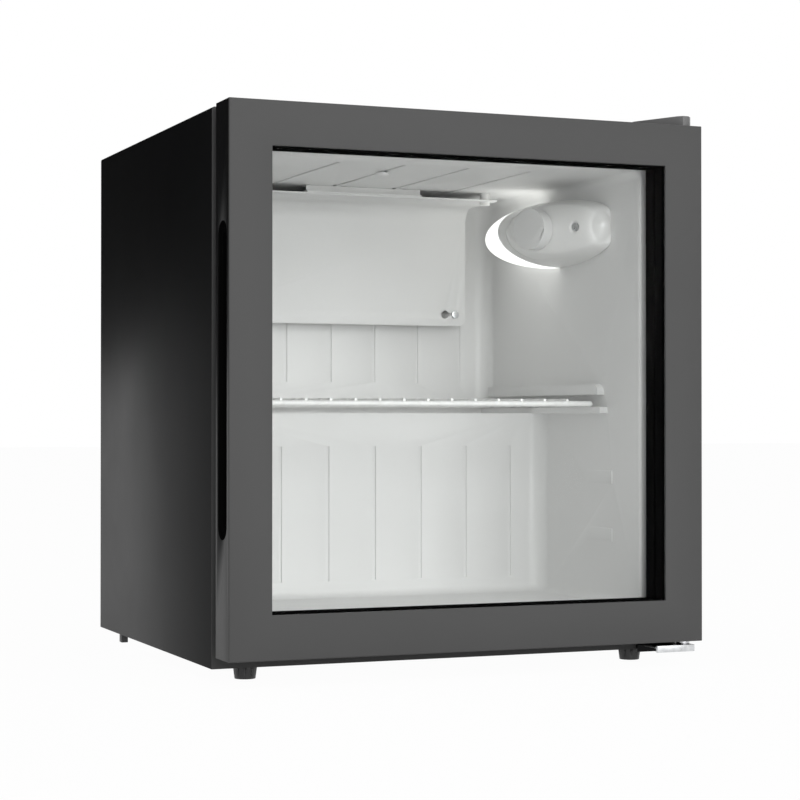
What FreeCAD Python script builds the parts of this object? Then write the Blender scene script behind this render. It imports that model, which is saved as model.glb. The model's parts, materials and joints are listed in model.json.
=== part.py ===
import FreeCAD, Part
import Sketcher
import math
import os
import re

# Countertop refrigerator with a framed double-glazed door, in millimetres.
# +X is the hinge side, the door faces -Y and +Z is up; the origin is the middle of the
# bounding box, on the floor.

os.makedirs("parts", exist_ok=True)
doc = FreeCAD.newDocument("glass_door_merchandiser")
vector = FreeCAD.Vector

# ---------------------------------------------------------------- driving sizes
SIZES = {
    # overall
    "cabinet_width": 445, "cabinet_height": 472.5, "cabinet_depth": 380.6,
    "door_top_rise": 1, "door_thickness": 36.7, "gasket_gap": 10.9,
    "door_bottom_gap": 10.5, "foot_height": 11.5, "rear_standoff": 22,
    # sheet metal shell
    "sheet": 1, "corner_radius": 2.4, "flange_width": 25, "rail_height": 28, "rail_lip": 10,
    # inner compartment
    "liner_wall": 3, "liner_flange": 20, "side_wall": 37.5, "side_draft": 8,
    "floor_wall": 38.5, "ceiling_wall": 36, "rear_wall": 64.6, "bay_wall": 39.6,
    "step_height": 215.5, "back_corner_radius": 16, "edge_radius": 8,
    "groove_width": 4, "groove_depth": 1.6, "ceiling_groove_pitch": 62.4,
    "ceiling_groove_start": 40, "wall_groove_pitch": 48,
    # shelf and its ledges
    "shelf_rise": 8.5, "shelf_front": 60, "shelf_gap": 14, "shelf_side_gap": 12.5,
    "shelf_rail": 5, "shelf_wire": 2.6, "shelf_wire_pitch": 23.5, "shelf_corner": 12,
    "ledge_reach": 15.5, "ledge_front": 49, "ledge_thickness": 6, "ledge_slope": 0.8,
    "rib_reach": 14, "rib_front": 57, "rib_height": 10.5, "rib_space": 11.5, "rib_round": 8,
    "spare_ledge_reach": 2.5, "spare_ledge_front": 50, "spare_ledge_length": 78,
    "spare_ledge_height": 12, "spare_ledge_pitch": 54,
    # compressor bay
    "bay_depth": 148, "bay_height": 182, "tray_thickness": 1.5, "tray_flange": 24,
    # evaporator
    "evaporator_side_gap": 43, "evaporator_thickness": 1.6, "evaporator_back_gap": 22,
    "evaporator_top_gap": 7, "evaporator_height": 123.5, "evaporator_reach": 78,
    "evaporator_bend": 16, "evaporator_corner": 8, "post_radius": 5, "post_inset": 12,
    "keyhole_length": 11, "keyhole_radius": 4.3,
    "hanger_half": 60, "hanger_thickness": 1.6, "hanger_lap": 14, "hanger_lead": 4,
    "dimple_radius": 6, "dimple_depth": 2.2, "dimple_lead": 4,
    "plug_radius": 8, "plug_forward": 93, "plug_height": 4,
    # lamp and thermostat housing
    "lamp_depth": 62, "lamp_length": 236, "lamp_height": 64, "lamp_wall": 2,
    "lamp_back": 150, "lamp_drop": 46, "lamp_front": 105, "cover_crown": 38,
    "knob_tilt": 24, "knob_radius": 19.5, "knob_thickness": 13, "knob_inset": 46.6,
    "knob_forward": 40.3, "shaft_radius": 3, "lens_ring_radius": 24,
    "lens_ring_back": 16, "lens_ring_drop": 3, "cover_screw_forward": 45,
    "cover_screw_radius": 1.6, "cover_screw_head": 3.8, "cover_screw_length": 20,
    "screw_recess_radius": 5, "boss_radius": 6.6, "dial_stand": 0.5, "pointer_length": 5.5,
    "pointer_half": 1.1, "lamp_base_depth": 6.5, "board_start": 30, "board_length": 55,
    "board_half": 8, "board_thickness": 1.6, "led_pitch": 10, "led_side": 3.6,
    "led_height": 1.2, "thermostat_half_length": 17, "thermostat_half_height": 14,
    "thermostat_depth": 26, "thermostat_stand": 4,
    # door
    "frame_width": 37.5, "door_edge_radius": 1.2, "glass_rebate": 8, "front_lip": 3,
    "glass": 4, "glass_space": 12,
    "gasket_inset": 12, "gasket_width": 15,
    "handle_length": 264, "handle_width": 23.5, "handle_depth": 17, "handle_front": 6.5,
    "slot_length": 245, "slot_width": 13, "cup_wall": 2,
    # hinges
    "hinge_inset": 9.9, "hinge_setback": 18, "pin_radius": 3, "bush_radius": 6,
    "bush_length": 16, "hinge_plate": 3, "hinge_cover_wall": 1.4, "hinge_cover_height": 10.3,
    "hinge_cover_width": 34, "hinge_cover_length": 70, "hinge_cover_inset": 3, "hinge_nose": 7,
    "screw_radius": 2, "screw_head_radius": 4, "screw_head": 2.4, "screw_length": 22,
    "screw_start": 28, "screw_pitch": 24,
    "nut_plate_half": 12, "nut_plate_length": 52, "nut_plate_thickness": 4,
    "bottom_plate": 2.5, "bottom_leaf_width": 38, "bottom_leaf_reach": 10,
    "leaf_drop": 3.9, "leaf_lip": 3.5, "leaf_inset": 3.5, "leaf_foot_width": 20,
    "leaf_foot_length": 42, "leaf_screw_inset": 11, "leaf_screw_start": 12, "leaf_screw_pitch": 18,
    "leaf_screw_length": 12,
    # feet
    "foot_inset": 36.5, "foot_setback": 22, "foot_radius": 10.5, "foot_taper": 1.5,
    "flute_radius": 1.2, "stud_radius": 4,
    "stud_length": 20, "nut_radius": 9, "nut_height": 8,
    "rear_foot_inset": 9.5, "rear_foot_width": 6.5, "rear_foot_length": 9,
    "rear_foot_setback": 48,
    # compressor and condenser
    "pot_radius": 55, "pot_height": 118, "pot_offset": 40, "pot_seam": 4, "leg_thickness": 3,
    "grommet_radius": 11, "grommet_height": 9, "bolt_radius": 3, "bolt_reach": 12, "nut_depth": 5,
    "mount_pitch": 110, "terminal_depth": 20, "terminal_half": 24, "terminal_rise": 14,
    "drip_half_width": 60, "drip_half_length": 50, "drip_height": 20, "drip_wall": 2,
    "gland_offset": 120, "gland_radius": 6, "gland_collar_radius": 8.5, "gland_collar": 4,
    "gland_bore": 3.6,
    "tube_radius": 3, "tube_bend": 14, "condenser_tube": 2.4, "condenser_wire": 0.9,
    "condenser_inset": 57.5, "drier_setback": 36, "drier_entry": 20, "capillary_drop": 16,
    "suction_drop": 25, "condenser_pitch": 28, "condenser_wire_pitch": 30,
    "wire_sink": 0.3, "condenser_rise": 28, "condenser_lead": 26, "clip_half": 6,
    "drier_radius": 9, "drier_length": 80, "drier_rise": 40, "drier_offset": 14,
    "capillary_radius": 1.2, "capillary_bend": 10,
    "drain_radius": 7, "drain_wall": 1.5, "drain_reach": 16, "drain_shift": 20,
    # clearances
    "running_gap": 0.05, "moving_gap": 0.3, "door_top_gap": 0.6, "seat_gap": 0.3,
}

sheet = doc.addObject("Spreadsheet::Sheet", "Sizes")
for row, (alias, number) in enumerate(SIZES.items(), start=1):
    sheet.set(f"A{row}", alias)
    sheet.set(f"B{row}", str(number))
    sheet.setAlias(f"B{row}", alias)

# ---------------------------------------------------------------- worked-out places
PLACES = {
    "half": "cabinet_width / 2",
    "front_y": "-(door_thickness + gasket_gap + cabinet_depth + rear_standoff) / 2",
    "cabinet_y": "front_y + door_thickness + gasket_gap",
    "rear_y": "cabinet_y + cabinet_depth",
    "base_z": "foot_height",
    "top_z": "foot_height + cabinet_height",
    "inside_half": "half - sheet",
    "door_z": "base_z + door_bottom_gap",
    "door_top_z": "top_z + door_top_rise",
    "floor_z": "base_z + floor_wall",
    "ceiling_z": "top_z - ceiling_wall",
    "step_z": "base_z + step_height",
    "upper_y": "rear_y - rear_wall",
    "bay_y": "rear_y - bay_depth",
    "lower_y": "bay_y - bay_wall",
    "cavity_front_half": "half - side_wall",
    "cavity_rear_half": "cavity_front_half - side_draft",
    "bay_z": "base_z + bay_height",
    "shelf_z": "step_z + shelf_rise",
    "shelf_y": "cabinet_y + shelf_front",
    "shelf_back_y": "upper_y - shelf_gap",
    "shelf_half": "cavity_front_half - shelf_side_gap",
    "window_half": "half - frame_width",
    "glass_half": "window_half + glass_rebate",
    "glass_y": "front_y + front_lip",
    "inner_frame_y": "glass_y + 2 * glass + glass_space",
    "door_back_y": "front_y + door_thickness",
    "hinge_x": "half - hinge_inset",
    "hinge_y": "front_y + hinge_setback",
    "leaf_z": "door_top_z + door_top_gap",
    "lamp_x": "cavity_front_half - side_draft * lamp_back / (upper_y - cabinet_y)",
    "lamp_y": "cabinet_y + lamp_back",
    "lamp_z": "ceiling_z - lamp_drop",
    "knob_x": "lamp_x - knob_inset",
    "knob_y": "lamp_y - knob_forward",
    "evaporator_half": "cavity_front_half - evaporator_side_gap",
    "evaporator_y": "upper_y - evaporator_back_gap",
    "evaporator_z": "ceiling_z - evaporator_top_gap",
    "evaporator_low_z": "evaporator_z - evaporator_height",
    "evaporator_front_y": "evaporator_y - evaporator_reach",
    "drain_y": "(lower_y + upper_y) / 2 + drain_shift",
    "foot_x": "half - foot_inset",
    "foot_y": "cabinet_y + foot_setback",
    "bottom_leaf_z": "door_z - bottom_plate - leaf_drop",
    "hinge_screw_x": "half - hinge_cover_inset / 2 - hinge_cover_width / 2",
    "leaf_screw_x": "half - leaf_screw_inset",
    "pot_y": "rear_y - bay_depth / 2",
    "tray_z": "base_z + tray_thickness",
    "pot_z": "tray_z + grommet_height",
    "condenser_y": "rear_y + rear_standoff - 2 * condenser_wire - condenser_tube + wire_sink",
    "condenser_low_z": "bay_z + condenser_rise",
    "condenser_half": "half - condenser_inset",
}
places = doc.addObject("App::VarSet", "Places")


def full(text):
    """Write a formula's plain words as references to the two tables."""
    def reference(match):
        word = match.group(0)
        if word in SIZES:
            return "Sizes." + word
        return "Places." + word if word in PLACES else word
    return re.sub(r"[a-z][a-z_]*", reference, str(text))


for name, formula in PLACES.items():
    places.addProperty("App::PropertyFloat", name)
    places.setExpression(name, full(formula))
doc.recompute()


# ---------------------------------------------------------------- building helpers
def bind(thing, **formulas):
    """Bind properties to formulas; a double underscore stands for a dot."""
    for prop, formula in formulas.items():
        thing.setExpression(prop.replace("__", "."), full(formula))
    return thing


def locate(thing, x, y, z):
    return bind(thing, Placement__Base__x=x, Placement__Base__y=y, Placement__Base__z=z)


def span(low, high):
    return f"({high}) - ({low})"


def box(name, x, y, z):
    """A block from three (low, high) pairs of formulas."""
    block = doc.addObject("Part::Box", name)
    bind(block, Length=span(*x), Width=span(*y), Height=span(*z))
    return locate(block, x[0], y[0], z[0])


AXIS_TURNS = {
    "x": FreeCAD.Rotation(vector(0, 1, 0), 90),
    "y": FreeCAD.Rotation(vector(1, 0, 0), -90),
    "z": FreeCAD.Rotation(),
}


def rod(name, x, y, z, radius, length, axis="z"):
    """A cylinder that starts at a point and runs along +axis."""
    cylinder = doc.addObject("Part::Cylinder", name)
    cylinder.Placement.Rotation = AXIS_TURNS[axis]
    bind(cylinder, Radius=radius, Height=length)
    return locate(cylinder, x, y, z)


def join(name, pieces):
    fused = doc.addObject("Part::MultiFuse", name)
    fused.Shapes = pieces
    return fused


def gather(name, pieces):
    """Separate solids that share one node."""
    group = doc.addObject("Part::Compound", name)
    group.Links = pieces
    return group


def cut(name, base, tools):
    result = doc.addObject("Part::Cut", name)
    result.Base = base
    result.Tool = tools[0] if len(tools) == 1 else join(name + "_tools", tools)
    return result


def common(name, first, second):
    result = doc.addObject("Part::MultiCommon", name)
    result.Shapes = [first, second]
    return result


def new_body(name):
    return doc.addObject("PartDesign::Body", name)


def outline(body, role, points, offset="0"):
    """A sketch on one of the body's own origin planes, with every point tied to formulas."""
    plane = [item for item in body.Origin.OriginFeatures if item.Role == role][0]
    sketch = body.newObject("Sketcher::SketchObject", body.Name + "_sketch")
    sketch.AttachmentSupport = (plane, [""])
    sketch.MapMode = "FlatFace"
    bind(sketch, AttachmentOffset__Base__z=offset)
    count = len(points)
    turns = [2 * math.pi * i / count for i in range(count)]
    corners = [vector(math.cos(turn), math.sin(turn), 0) for turn in turns]
    for i in range(count):
        sketch.addGeometry(Part.LineSegment(corners[i], corners[(i + 1) % count]), False)
    for i in range(count):
        sketch.addConstraint(Sketcher.Constraint("Coincident", i, 2, (i + 1) % count, 1))
    for i, (across, up) in enumerate(points):
        for kind, formula, start in (("DistanceX", across, corners[i].x), ("DistanceY", up, corners[i].y)):
            number = sketch.addConstraint(Sketcher.Constraint(kind, -1, 1, i, 1, start))
            sketch.setExpression(f"Constraints[{number}]", full(formula))
    return sketch


def rectangle(across, up):
    """Corner formulas of a rectangle from two (low, high) pairs."""
    return [(across[0], up[0]), (across[1], up[0]), (across[1], up[1]), (across[0], up[1])]


def pad(body, sketch, length, centred=False):
    feature = body.newObject("PartDesign::Pad", body.Name + "_pad")
    feature.Profile = sketch
    feature.Midplane = centred
    bind(feature, Length=length)
    body.Tip = feature
    return feature


def pocket(body, sketch, length, reverse=False, centred=False):
    """Cut a sketch into the body and make sure that something was removed."""
    doc.recompute()
    before = body.Shape.Volume
    feature = body.newObject("PartDesign::Pocket", body.Name + "_pocket")
    feature.Profile = sketch
    feature.Reversed = reverse
    feature.Midplane = centred
    bind(feature, Length=length)
    body.Tip = feature
    doc.recompute()
    if body.Shape.Volume >= before:
        raise ValueError(body.Name + ": a pocket removed nothing")
    return feature


def round_edges(body, radius, wanted):
    """Fillet the edges of the body's tip whose bounding box passes the test."""
    doc.recompute()
    tip = body.Tip
    names = [f"Edge{i}" for i, edge in enumerate(tip.Shape.Edges, start=1) if wanted(edge.BoundBox)]
    feature = body.newObject("PartDesign::Fillet", body.Name + "_fillet")
    feature.Base = (tip, names)
    bind(feature, Radius=radius)
    body.Tip = feature
    doc.recompute()
    return feature


def near(value, target):
    return abs(value - target) < 0.01


def runs_along_x(bounds):
    return near(bounds.YLength, 0) and near(bounds.ZLength, 0)


def runs_along_y(bounds):
    return near(bounds.XLength, 0) and near(bounds.ZLength, 0)


def node(thing, label):
    """Name a finished sub-part; its label names its file."""
    thing.Label = label
    NODES.append(thing)
    return thing


NODES = []
SIDES = (("left", -1), ("right", 1))


# ---------------------------------------------------------------- steel shell
def outer_wrapper():
    """Folded sheet: two sides, the top and the face flanges round the opening."""
    body = new_body("wrapper")
    block = rectangle(("-half", "half"), ("base_z", "top_z"))
    pad(body, outline(body, "XZ_Plane", block, "-rear_y"), "cabinet_depth")
    round_edges(body, "corner_radius", lambda b: runs_along_y(b) and near(b.ZMax, places.top_z))
    hollow = rectangle(("-inside_half", "inside_half"), ("base_z - 1", "top_z - sheet"))
    pocket(body, outline(body, "XZ_Plane", hollow, "-rear_y"), "cabinet_depth - sheet", reverse=True)
    inner_top = places.top_z - sheet.get("sheet")
    round_edges(body, "corner_radius - sheet", lambda b: runs_along_y(b) and near(b.ZMax, inner_top))
    window = rectangle(("flange_width - half", "half - flange_width"),
                       ("base_z - 1", "top_z - flange_width"))
    pocket(body, outline(body, "XZ_Plane", window, "-rear_y"), "cabinet_depth", reverse=True)
    return body


def front_rail():
    """Steel angle that closes the face below the opening; its lip lies on the floor pan."""
    body = new_body("rail")
    profile = [("cabinet_y", "base_z"), ("cabinet_y + sheet", "base_z"),
               ("cabinet_y + sheet", "base_z + sheet"), ("cabinet_y + rail_lip", "base_z + sheet"),
               ("cabinet_y + rail_lip", "base_z + 2 * sheet"), ("cabinet_y + sheet", "base_z + 2 * sheet"),
               ("cabinet_y + sheet", "base_z + rail_height"), ("cabinet_y", "base_z + rail_height")]
    pad(body, outline(body, "YZ_Plane", profile), "2 * (half - flange_width)", centred=True)
    return body


def bay_panel():
    """Bent sheet over and in front of the compressor."""
    body = new_body("bay")
    profile = [("bay_y - sheet", "base_z + sheet"), ("bay_y", "base_z + sheet"), ("bay_y", "bay_z"),
               ("rear_y", "bay_z"), ("rear_y", "bay_z + sheet"), ("bay_y - sheet", "bay_z + sheet")]
    pad(body, outline(body, "YZ_Plane", profile), "2 * inside_half", centred=True)
    return body


def compartment(name, grow):
    """The compartment's shape, deep above the step and shallow below it."""
    body = new_body(name)
    front = f"cavity_front_half + {grow}"
    taper = "side_draft / (upper_y - cabinet_y)"

    def plan(wall_y):
        back = f"{front} - {taper} * ({wall_y} - cabinet_y + {grow})"
        return [(f"-({front})", "cabinet_y"), (front, "cabinet_y"), (back, f"{wall_y} + {grow}"),
                (f"-({back})", f"{wall_y} + {grow}")]

    tall = f"ceiling_z - floor_z + 2 * {grow}"
    pad(body, outline(body, "XY_Plane", plan("lower_y"), f"floor_z - {grow}"), tall)
    upper = outline(body, "XY_Plane", plan("upper_y"), f"step_z - {grow}")
    pad(body, upper, f"ceiling_z - step_z + 2 * {grow}")
    size = sheet.get(grow) if grow != "0" else 0
    backs = (places.lower_y + size, places.upper_y + size)
    levels = (places.floor_z - size, places.ceiling_z + size)

    def rear_corner(b):
        return b.ZLength > 1 and near(b.XLength, 0) and any(near(b.YMin, back) for back in backs)

    def floor_or_ceiling(b):
        inside = not near(b.YMax, places.cabinet_y)
        return inside and near(b.ZLength, 0) and any(near(b.ZMin, level) for level in levels)

    round_edges(body, f"back_corner_radius + {grow}", rear_corner)
    round_edges(body, f"edge_radius + {grow}", floor_or_ceiling)
    return body


def wall_rail(name, side, sign, reach, depth, height):
    """A rail on a side wall that stands out by its reach and slants back to the wall in front."""
    front, back = depth
    low, top = height
    inner = f"cavity_front_half - {reach}"
    outer = "cavity_front_half + liner_wall"
    slant = f"ledge_slope * ({reach} + liner_wall)"
    body = new_body(f"{name}_{side}")
    plan = [(f"{sign} * ({outer})", f"{front} + {slant}"), (f"{sign} * ({inner})", front),
            (f"{sign} * ({inner})", back), (f"{sign} * ({outer})", back)]
    pad(body, outline(body, "XY_Plane", plan, low), span(low, top))
    return body


def liner_ledges():
    """Ledges, anti-tip ribs and spare ledges moulded on both side walls."""
    rails = []
    shelf_under = "shelf_z - shelf_rail / 2 - seat_gap"
    rib_low = f"{shelf_under} + rib_space"
    for side, sign in SIDES:
        rails.append(wall_rail("ledge", side, sign, "ledge_reach",
                               ("cabinet_y + ledge_front", "upper_y + liner_wall"),
                               (f"{shelf_under} - ledge_thickness", shelf_under)))
        rib = wall_rail("rib", side, sign, "rib_reach",
                        ("cabinet_y + rib_front", "upper_y - back_corner_radius"),
                        (rib_low, f"{rib_low} + rib_height"))
        doc.recompute()
        crest = rib.Shape.BoundBox.ZMax
        round_edges(rib, "rib_round",
                    lambda b: near(b.ZMin, crest) and b.XLength > 1 and b.YLength > 1 and b.YLength < 50)
        rails.append(rib)
        for step in (1, 2):
            top = f"{shelf_under} - {step} * spare_ledge_pitch - ledge_thickness"
            start = "cabinet_y + spare_ledge_front"
            rails.append(wall_rail(f"spare_ledge_{step}", side, sign, "spare_ledge_reach",
                                   (start, f"{start} + spare_ledge_length"),
                                   (f"{top} - spare_ledge_height", top)))
    return rails


def liner_grooves():
    """Shallow grooves along the ceiling and up both back walls, and two round dimples."""
    grooves = []
    for index in range(4):
        middle = f"(({index} - 1.5) * ceiling_groove_pitch)"
        grooves.append(box(f"ceiling_groove_{index}",
                           (f"{middle} - groove_width / 2", f"{middle} + groove_width / 2"),
                           ("cabinet_y + ceiling_groove_start", "upper_y - back_corner_radius"),
                           ("ceiling_z - groove_depth", "ceiling_z + groove_depth")))
    for side, sign in SIDES:
        grooves.append(rod(f"ceiling_dimple_{side}", f"{sign} * ceiling_groove_pitch / 2",
                           "evaporator_front_y - dimple_lead", "ceiling_z - dimple_depth",
                           "dimple_radius", "2 * dimple_depth"))
    for index in range(-3, 4):
        across = (f"{index} * wall_groove_pitch - groove_width / 2",
                  f"{index} * wall_groove_pitch + groove_width / 2")
        grooves.append(box(f"lower_groove_{index + 3}", across,
                           ("lower_y - groove_depth", "lower_y + groove_depth"),
                           ("floor_z + back_corner_radius", "step_z - 2 * back_corner_radius")))
        grooves.append(box(f"upper_groove_{index + 3}", across,
                           ("upper_y - groove_depth", "upper_y + groove_depth"),
                           ("step_z + 2 * back_corner_radius", "evaporator_low_z + 20")))
    return grooves


# ---------------------------------------------------------------- feet and hinges
FLUTES = 10


def levelling_foot(side, sign):
    """Ribbed plastic foot on a threaded stud; it screws down from the cabinet's underside."""
    x = f"{sign} * foot_x"
    skirt = doc.addObject("Part::Cone", f"foot_skirt_{side}")
    bind(skirt, Radius1="foot_radius - foot_taper", Radius2="foot_radius", Height="foot_height")
    locate(skirt, x, "foot_y", 0)
    stud = rod(f"foot_stud_{side}", x, "foot_y", "foot_height", "stud_radius", "stud_length")
    flutes = []
    for index in range(FLUTES):
        turn = 2 * math.pi * index / FLUTES
        flutes.append(rod(f"foot_flute_{side}_{index}", f"{x} + foot_radius * {math.cos(turn):.5f}",
                          f"foot_y + foot_radius * {math.sin(turn):.5f}", "foot_height * 0.25",
                          "flute_radius", "foot_height"))
    solid = join(f"foot_solid_{side}", [skirt, stud])
    return cut(f"foot_{side}", solid, [join(f"foot_flutes_{side}", flutes)])


def stud_space(name, radius):
    """Both studs' holes through the floor pan and into the insulation."""
    return join(name, [rod(f"{name}_{side}", f"{sign} * foot_x", "foot_y", "base_z - 1", radius,
                           "stud_length + 2") for side, sign in SIDES])


def foot_nuts():
    nuts = []
    for side, sign in SIDES:
        body = rod(f"nut_{side}", f"{sign} * foot_x", "foot_y", "base_z + sheet", "nut_radius", "nut_height")
        bore = rod(f"nut_bore_{side}", f"{sign} * foot_x", "foot_y", "base_z",
                   "stud_radius + running_gap", "2 * nut_height")
        nuts.append(cut(f"foot_nut_{side}", body, [bore]))
    return gather("nut_pair", nuts)


def nut_space():
    return join("nut_space", [rod(f"nut_space_{side}", f"{sign} * foot_x", "foot_y", "base_z", "nut_radius",
                                  "sheet + nut_height") for side, sign in SIDES])


HINGE_SCREWS = [f"cabinet_y + screw_start + {i} * screw_pitch" for i in range(2)]
LEAF_SCREWS = [f"cabinet_y + leaf_screw_start + {i} * leaf_screw_pitch" for i in range(2)]


def screw(name, x, y, z, radius, head_radius, head, length, down=True):
    """A pan-head screw whose head's underside is at z."""
    sign = 1 if down else -1
    crown = rod(name + "_head", x, y, z if down else f"({z}) - ({head})", head_radius, head)
    shank = rod(name + "_shank", x, y, f"({z}) - ({length})" if down else z, radius, length)
    return join(name, [crown, shank])


def hinge_plan(inset):
    """Top view of the upper hinge: a nose round the pin that widens over the cabinet."""
    nose = f"(hinge_nose - {inset})"
    right = f"hinge_x + {nose}"
    left = f"half - hinge_cover_inset - hinge_cover_width + {inset}"
    return [(right, f"hinge_y - {nose} * 0.4"), (right, f"cabinet_y + hinge_cover_length - {inset}"),
            (left, f"cabinet_y + hinge_cover_length - {inset}"), (left, f"cabinet_y + 12 + {inset} * 0.5"),
            (f"hinge_x - {nose}", f"hinge_y - {nose} * 0.4"),
            (f"hinge_x - {nose} * 0.4", f"hinge_y - {nose}"),
            (f"hinge_x + {nose} * 0.4", f"hinge_y - {nose}")]


def hinge_slab(name, inset, low, high):
    body = new_body(name)
    pad(body, outline(body, "XY_Plane", hinge_plan(inset), low), f"({high}) - ({low})")
    return body


def top_hinge():
    """Joggled plate, its pin, two screws, a nut plate in the foam and a plastic cover."""
    plate_top = "leaf_z + hinge_plate"
    leaf = hinge_slab("hinge_leaf", "2 * hinge_cover_wall", "leaf_z", plate_top)
    seat = hinge_slab("hinge_seat", "2 * hinge_cover_wall", "top_z", "leaf_z")
    ahead = box("hinge_seat_front", ("0", "half"), ("front_y - 1", "cabinet_y + 2"), ("top_z", "leaf_z"))
    holes = [rod(f"hinge_hole_{i}", "hinge_screw_x", y, "top_z - 20", "screw_radius", 40)
             for i, y in enumerate(HINGE_SCREWS)]
    pin_hole = rod("hinge_pin_hole", "hinge_x", "hinge_y", "door_top_z - 20", "pin_radius", 40)
    solid = join("hinge_plate_solid", [leaf, cut("hinge_seat_back", seat, [ahead])])
    node(cut("hinge_plate", solid, holes + [pin_hole]), "top_hinge_bracket")
    pin = rod("hinge_pin", "hinge_x", "hinge_y", "door_top_z - bush_length + 2", "pin_radius",
              f"{plate_top} - (door_top_z - bush_length + 2)")
    rivet = rod("hinge_rivet", "hinge_x", "hinge_y", plate_top, "pin_radius * 0.9", 1.5)
    node(join("hinge_pin_solid", [pin, rivet]), "top_hinge_pin")
    screws = [screw(f"hinge_screw_{i}", "hinge_screw_x", y, plate_top, "screw_radius",
                    "screw_head_radius", "screw_head", "screw_length") for i, y in enumerate(HINGE_SCREWS)]
    node(gather("hinge_screws", screws), "top_hinge_screws")
    screws_middle = "cabinet_y + screw_start + screw_pitch / 2"
    nut_plate = box("nut_plate", ("hinge_screw_x - nut_plate_half", "hinge_screw_x + nut_plate_half"),
                    (f"{screws_middle} - nut_plate_length / 2", f"{screws_middle} + nut_plate_length / 2"),
                    ("top_z - sheet - nut_plate_thickness", "top_z - sheet"))
    node(cut("nut_plate_drilled", nut_plate, holes), "hinge_nut_plate")
    cover_top = "door_top_z + hinge_cover_height"
    shell = hinge_slab("hinge_cover_shell", "0", "leaf_z", cover_top)
    skirt = hinge_slab("hinge_cover_skirt", "0", "top_z", "leaf_z")
    skirt_front = box("hinge_skirt_front", ("0", "half"), ("front_y - 1", "cabinet_y + 2"),
                      ("top_z", "leaf_z"))
    inner = hinge_slab("hinge_cover_inner", "hinge_cover_wall", "top_z - 1",
                       f"{cover_top} - hinge_cover_wall")
    outer = join("hinge_cover_outer", [shell, cut("hinge_skirt_back", skirt, [skirt_front])])
    node(cut("hinge_cover", outer, [inner]), "top_hinge_cover")
    return holes, nut_plate


def bottom_hinge():
    """Stepped leaf under the door, screwed to the cabinet's underside, with a collared pin."""
    leaf_top = "bottom_leaf_z + bottom_plate"
    low = "base_z - bottom_plate"
    y_back = "cabinet_y - moving_gap"
    x = ("half - leaf_inset - bottom_leaf_width", "half - leaf_inset")
    leaf = box("leaf", x, ("hinge_y - bottom_leaf_reach", y_back), ("bottom_leaf_z", leaf_top))
    lip = box("leaf_lip", x, ("hinge_y - bottom_leaf_reach", "hinge_y - bottom_leaf_reach + bottom_plate"),
              ("bottom_leaf_z - leaf_lip", leaf_top))
    riser = box("leaf_riser", x, (f"{y_back} - bottom_plate", y_back), (low, leaf_top))
    foot = box("leaf_foot", ("half - leaf_inset - leaf_foot_width", "half - leaf_inset"),
               (f"{y_back} - bottom_plate", "cabinet_y + leaf_foot_length"), (low, "base_z"))
    holes = [rod(f"leaf_hole_{i}", "leaf_screw_x", y, "base_z - 10", "screw_radius", 20)
             for i, y in enumerate(LEAF_SCREWS)]
    pin_hole = rod("leaf_pin_hole", "hinge_x", "hinge_y", "bottom_leaf_z - 5", "pin_radius", 20)
    solid = join("leaf_solid", [leaf, lip, riser, foot])
    node(cut("leaf_plate", solid, holes + [pin_hole]), "bottom_hinge_bracket")
    pin = rod("lower_pin", "hinge_x", "hinge_y", "bottom_leaf_z", "pin_radius",
              "door_z + bush_length - 2 - bottom_leaf_z")
    collar = rod("lower_collar", "hinge_x", "hinge_y", leaf_top, "bush_radius",
                 f"door_z - moving_gap - ({leaf_top})")
    node(join("lower_pin_solid", [pin, collar]), "bottom_hinge_pin")
    screws = [screw(f"leaf_screw_{i}", "leaf_screw_x", y, "base_z - bottom_plate", "screw_radius",
                    "0.9 * screw_head_radius", "screw_head", "leaf_screw_length", down=False)
              for i, y in enumerate(LEAF_SCREWS)]
    node(gather("leaf_screws", screws), "bottom_hinge_screws")
    return holes


def rear_feet():
    pegs = []
    for side, sign in SIDES:
        middle = f"{sign} * (half - rear_foot_inset - rear_foot_width / 2)"
        pegs.append(box(f"rear_foot_{side}",
                        (f"{middle} - rear_foot_width / 2", f"{middle} + rear_foot_width / 2"),
                        ("rear_y - rear_foot_setback", "rear_y - rear_foot_setback + rear_foot_length"),
                        ("0", "base_z")))
    return gather("rear_foot_pair", pegs)


for side, sign in SIDES:
    node(levelling_foot(side, sign), f"front_foot_{side}")
node(rear_feet(), "rear_feet")
node(foot_nuts(), "foot_nuts")
hinge_holes, nut_plate_block = top_hinge()
leaf_holes = bottom_hinge()

# ---------------------------------------------------------------- cabinet
wrapper = outer_wrapper()
rail = front_rail()
bay = bay_panel()
pan = box("pan", ("-inside_half", "inside_half"), ("cabinet_y + sheet", "bay_y"),
          ("base_z", "base_z + sheet"))
back = box("back", ("-inside_half", "inside_half"), ("rear_y - sheet", "rear_y"),
           ("bay_z + sheet", "top_z - sheet"))
cavity = compartment("cavity", "0")
envelope = compartment("envelope", "liner_wall")
liner_flange = box("liner_flange",
                   ("-(cavity_front_half + liner_flange)", "cavity_front_half + liner_flange"),
                   ("cabinet_y + sheet", "cabinet_y + sheet + liner_wall"),
                   ("floor_z - liner_flange * 0.7", "ceiling_z + liner_flange * 0.7"))
liner_front = box("liner_front", ("-half", "half"), ("cabinet_y - 1", "cabinet_y + sheet"),
                  ("base_z", "top_z"))
liner_block = cut("liner_block", join("liner_outer", [envelope, liner_flange]), [liner_front])

# the drain runs from the step behind the shallow part down into the tray over the compressor
drain_hole = rod("drain_hole", 0, "drain_y", "bay_z - 5", "drain_radius", "step_z - bay_z + 10")
drain = cut("drain", rod("drain_outer", 0, "drain_y", "bay_z - drain_reach", "drain_radius",
                         "step_z - bay_z + drain_reach"),
            [rod("drain_bore", 0, "drain_y", "bay_z - 2 * drain_reach", "drain_radius - drain_wall",
                 "step_z - bay_z + 4 * drain_reach")])
node(drain, "drain_tube")

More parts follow.
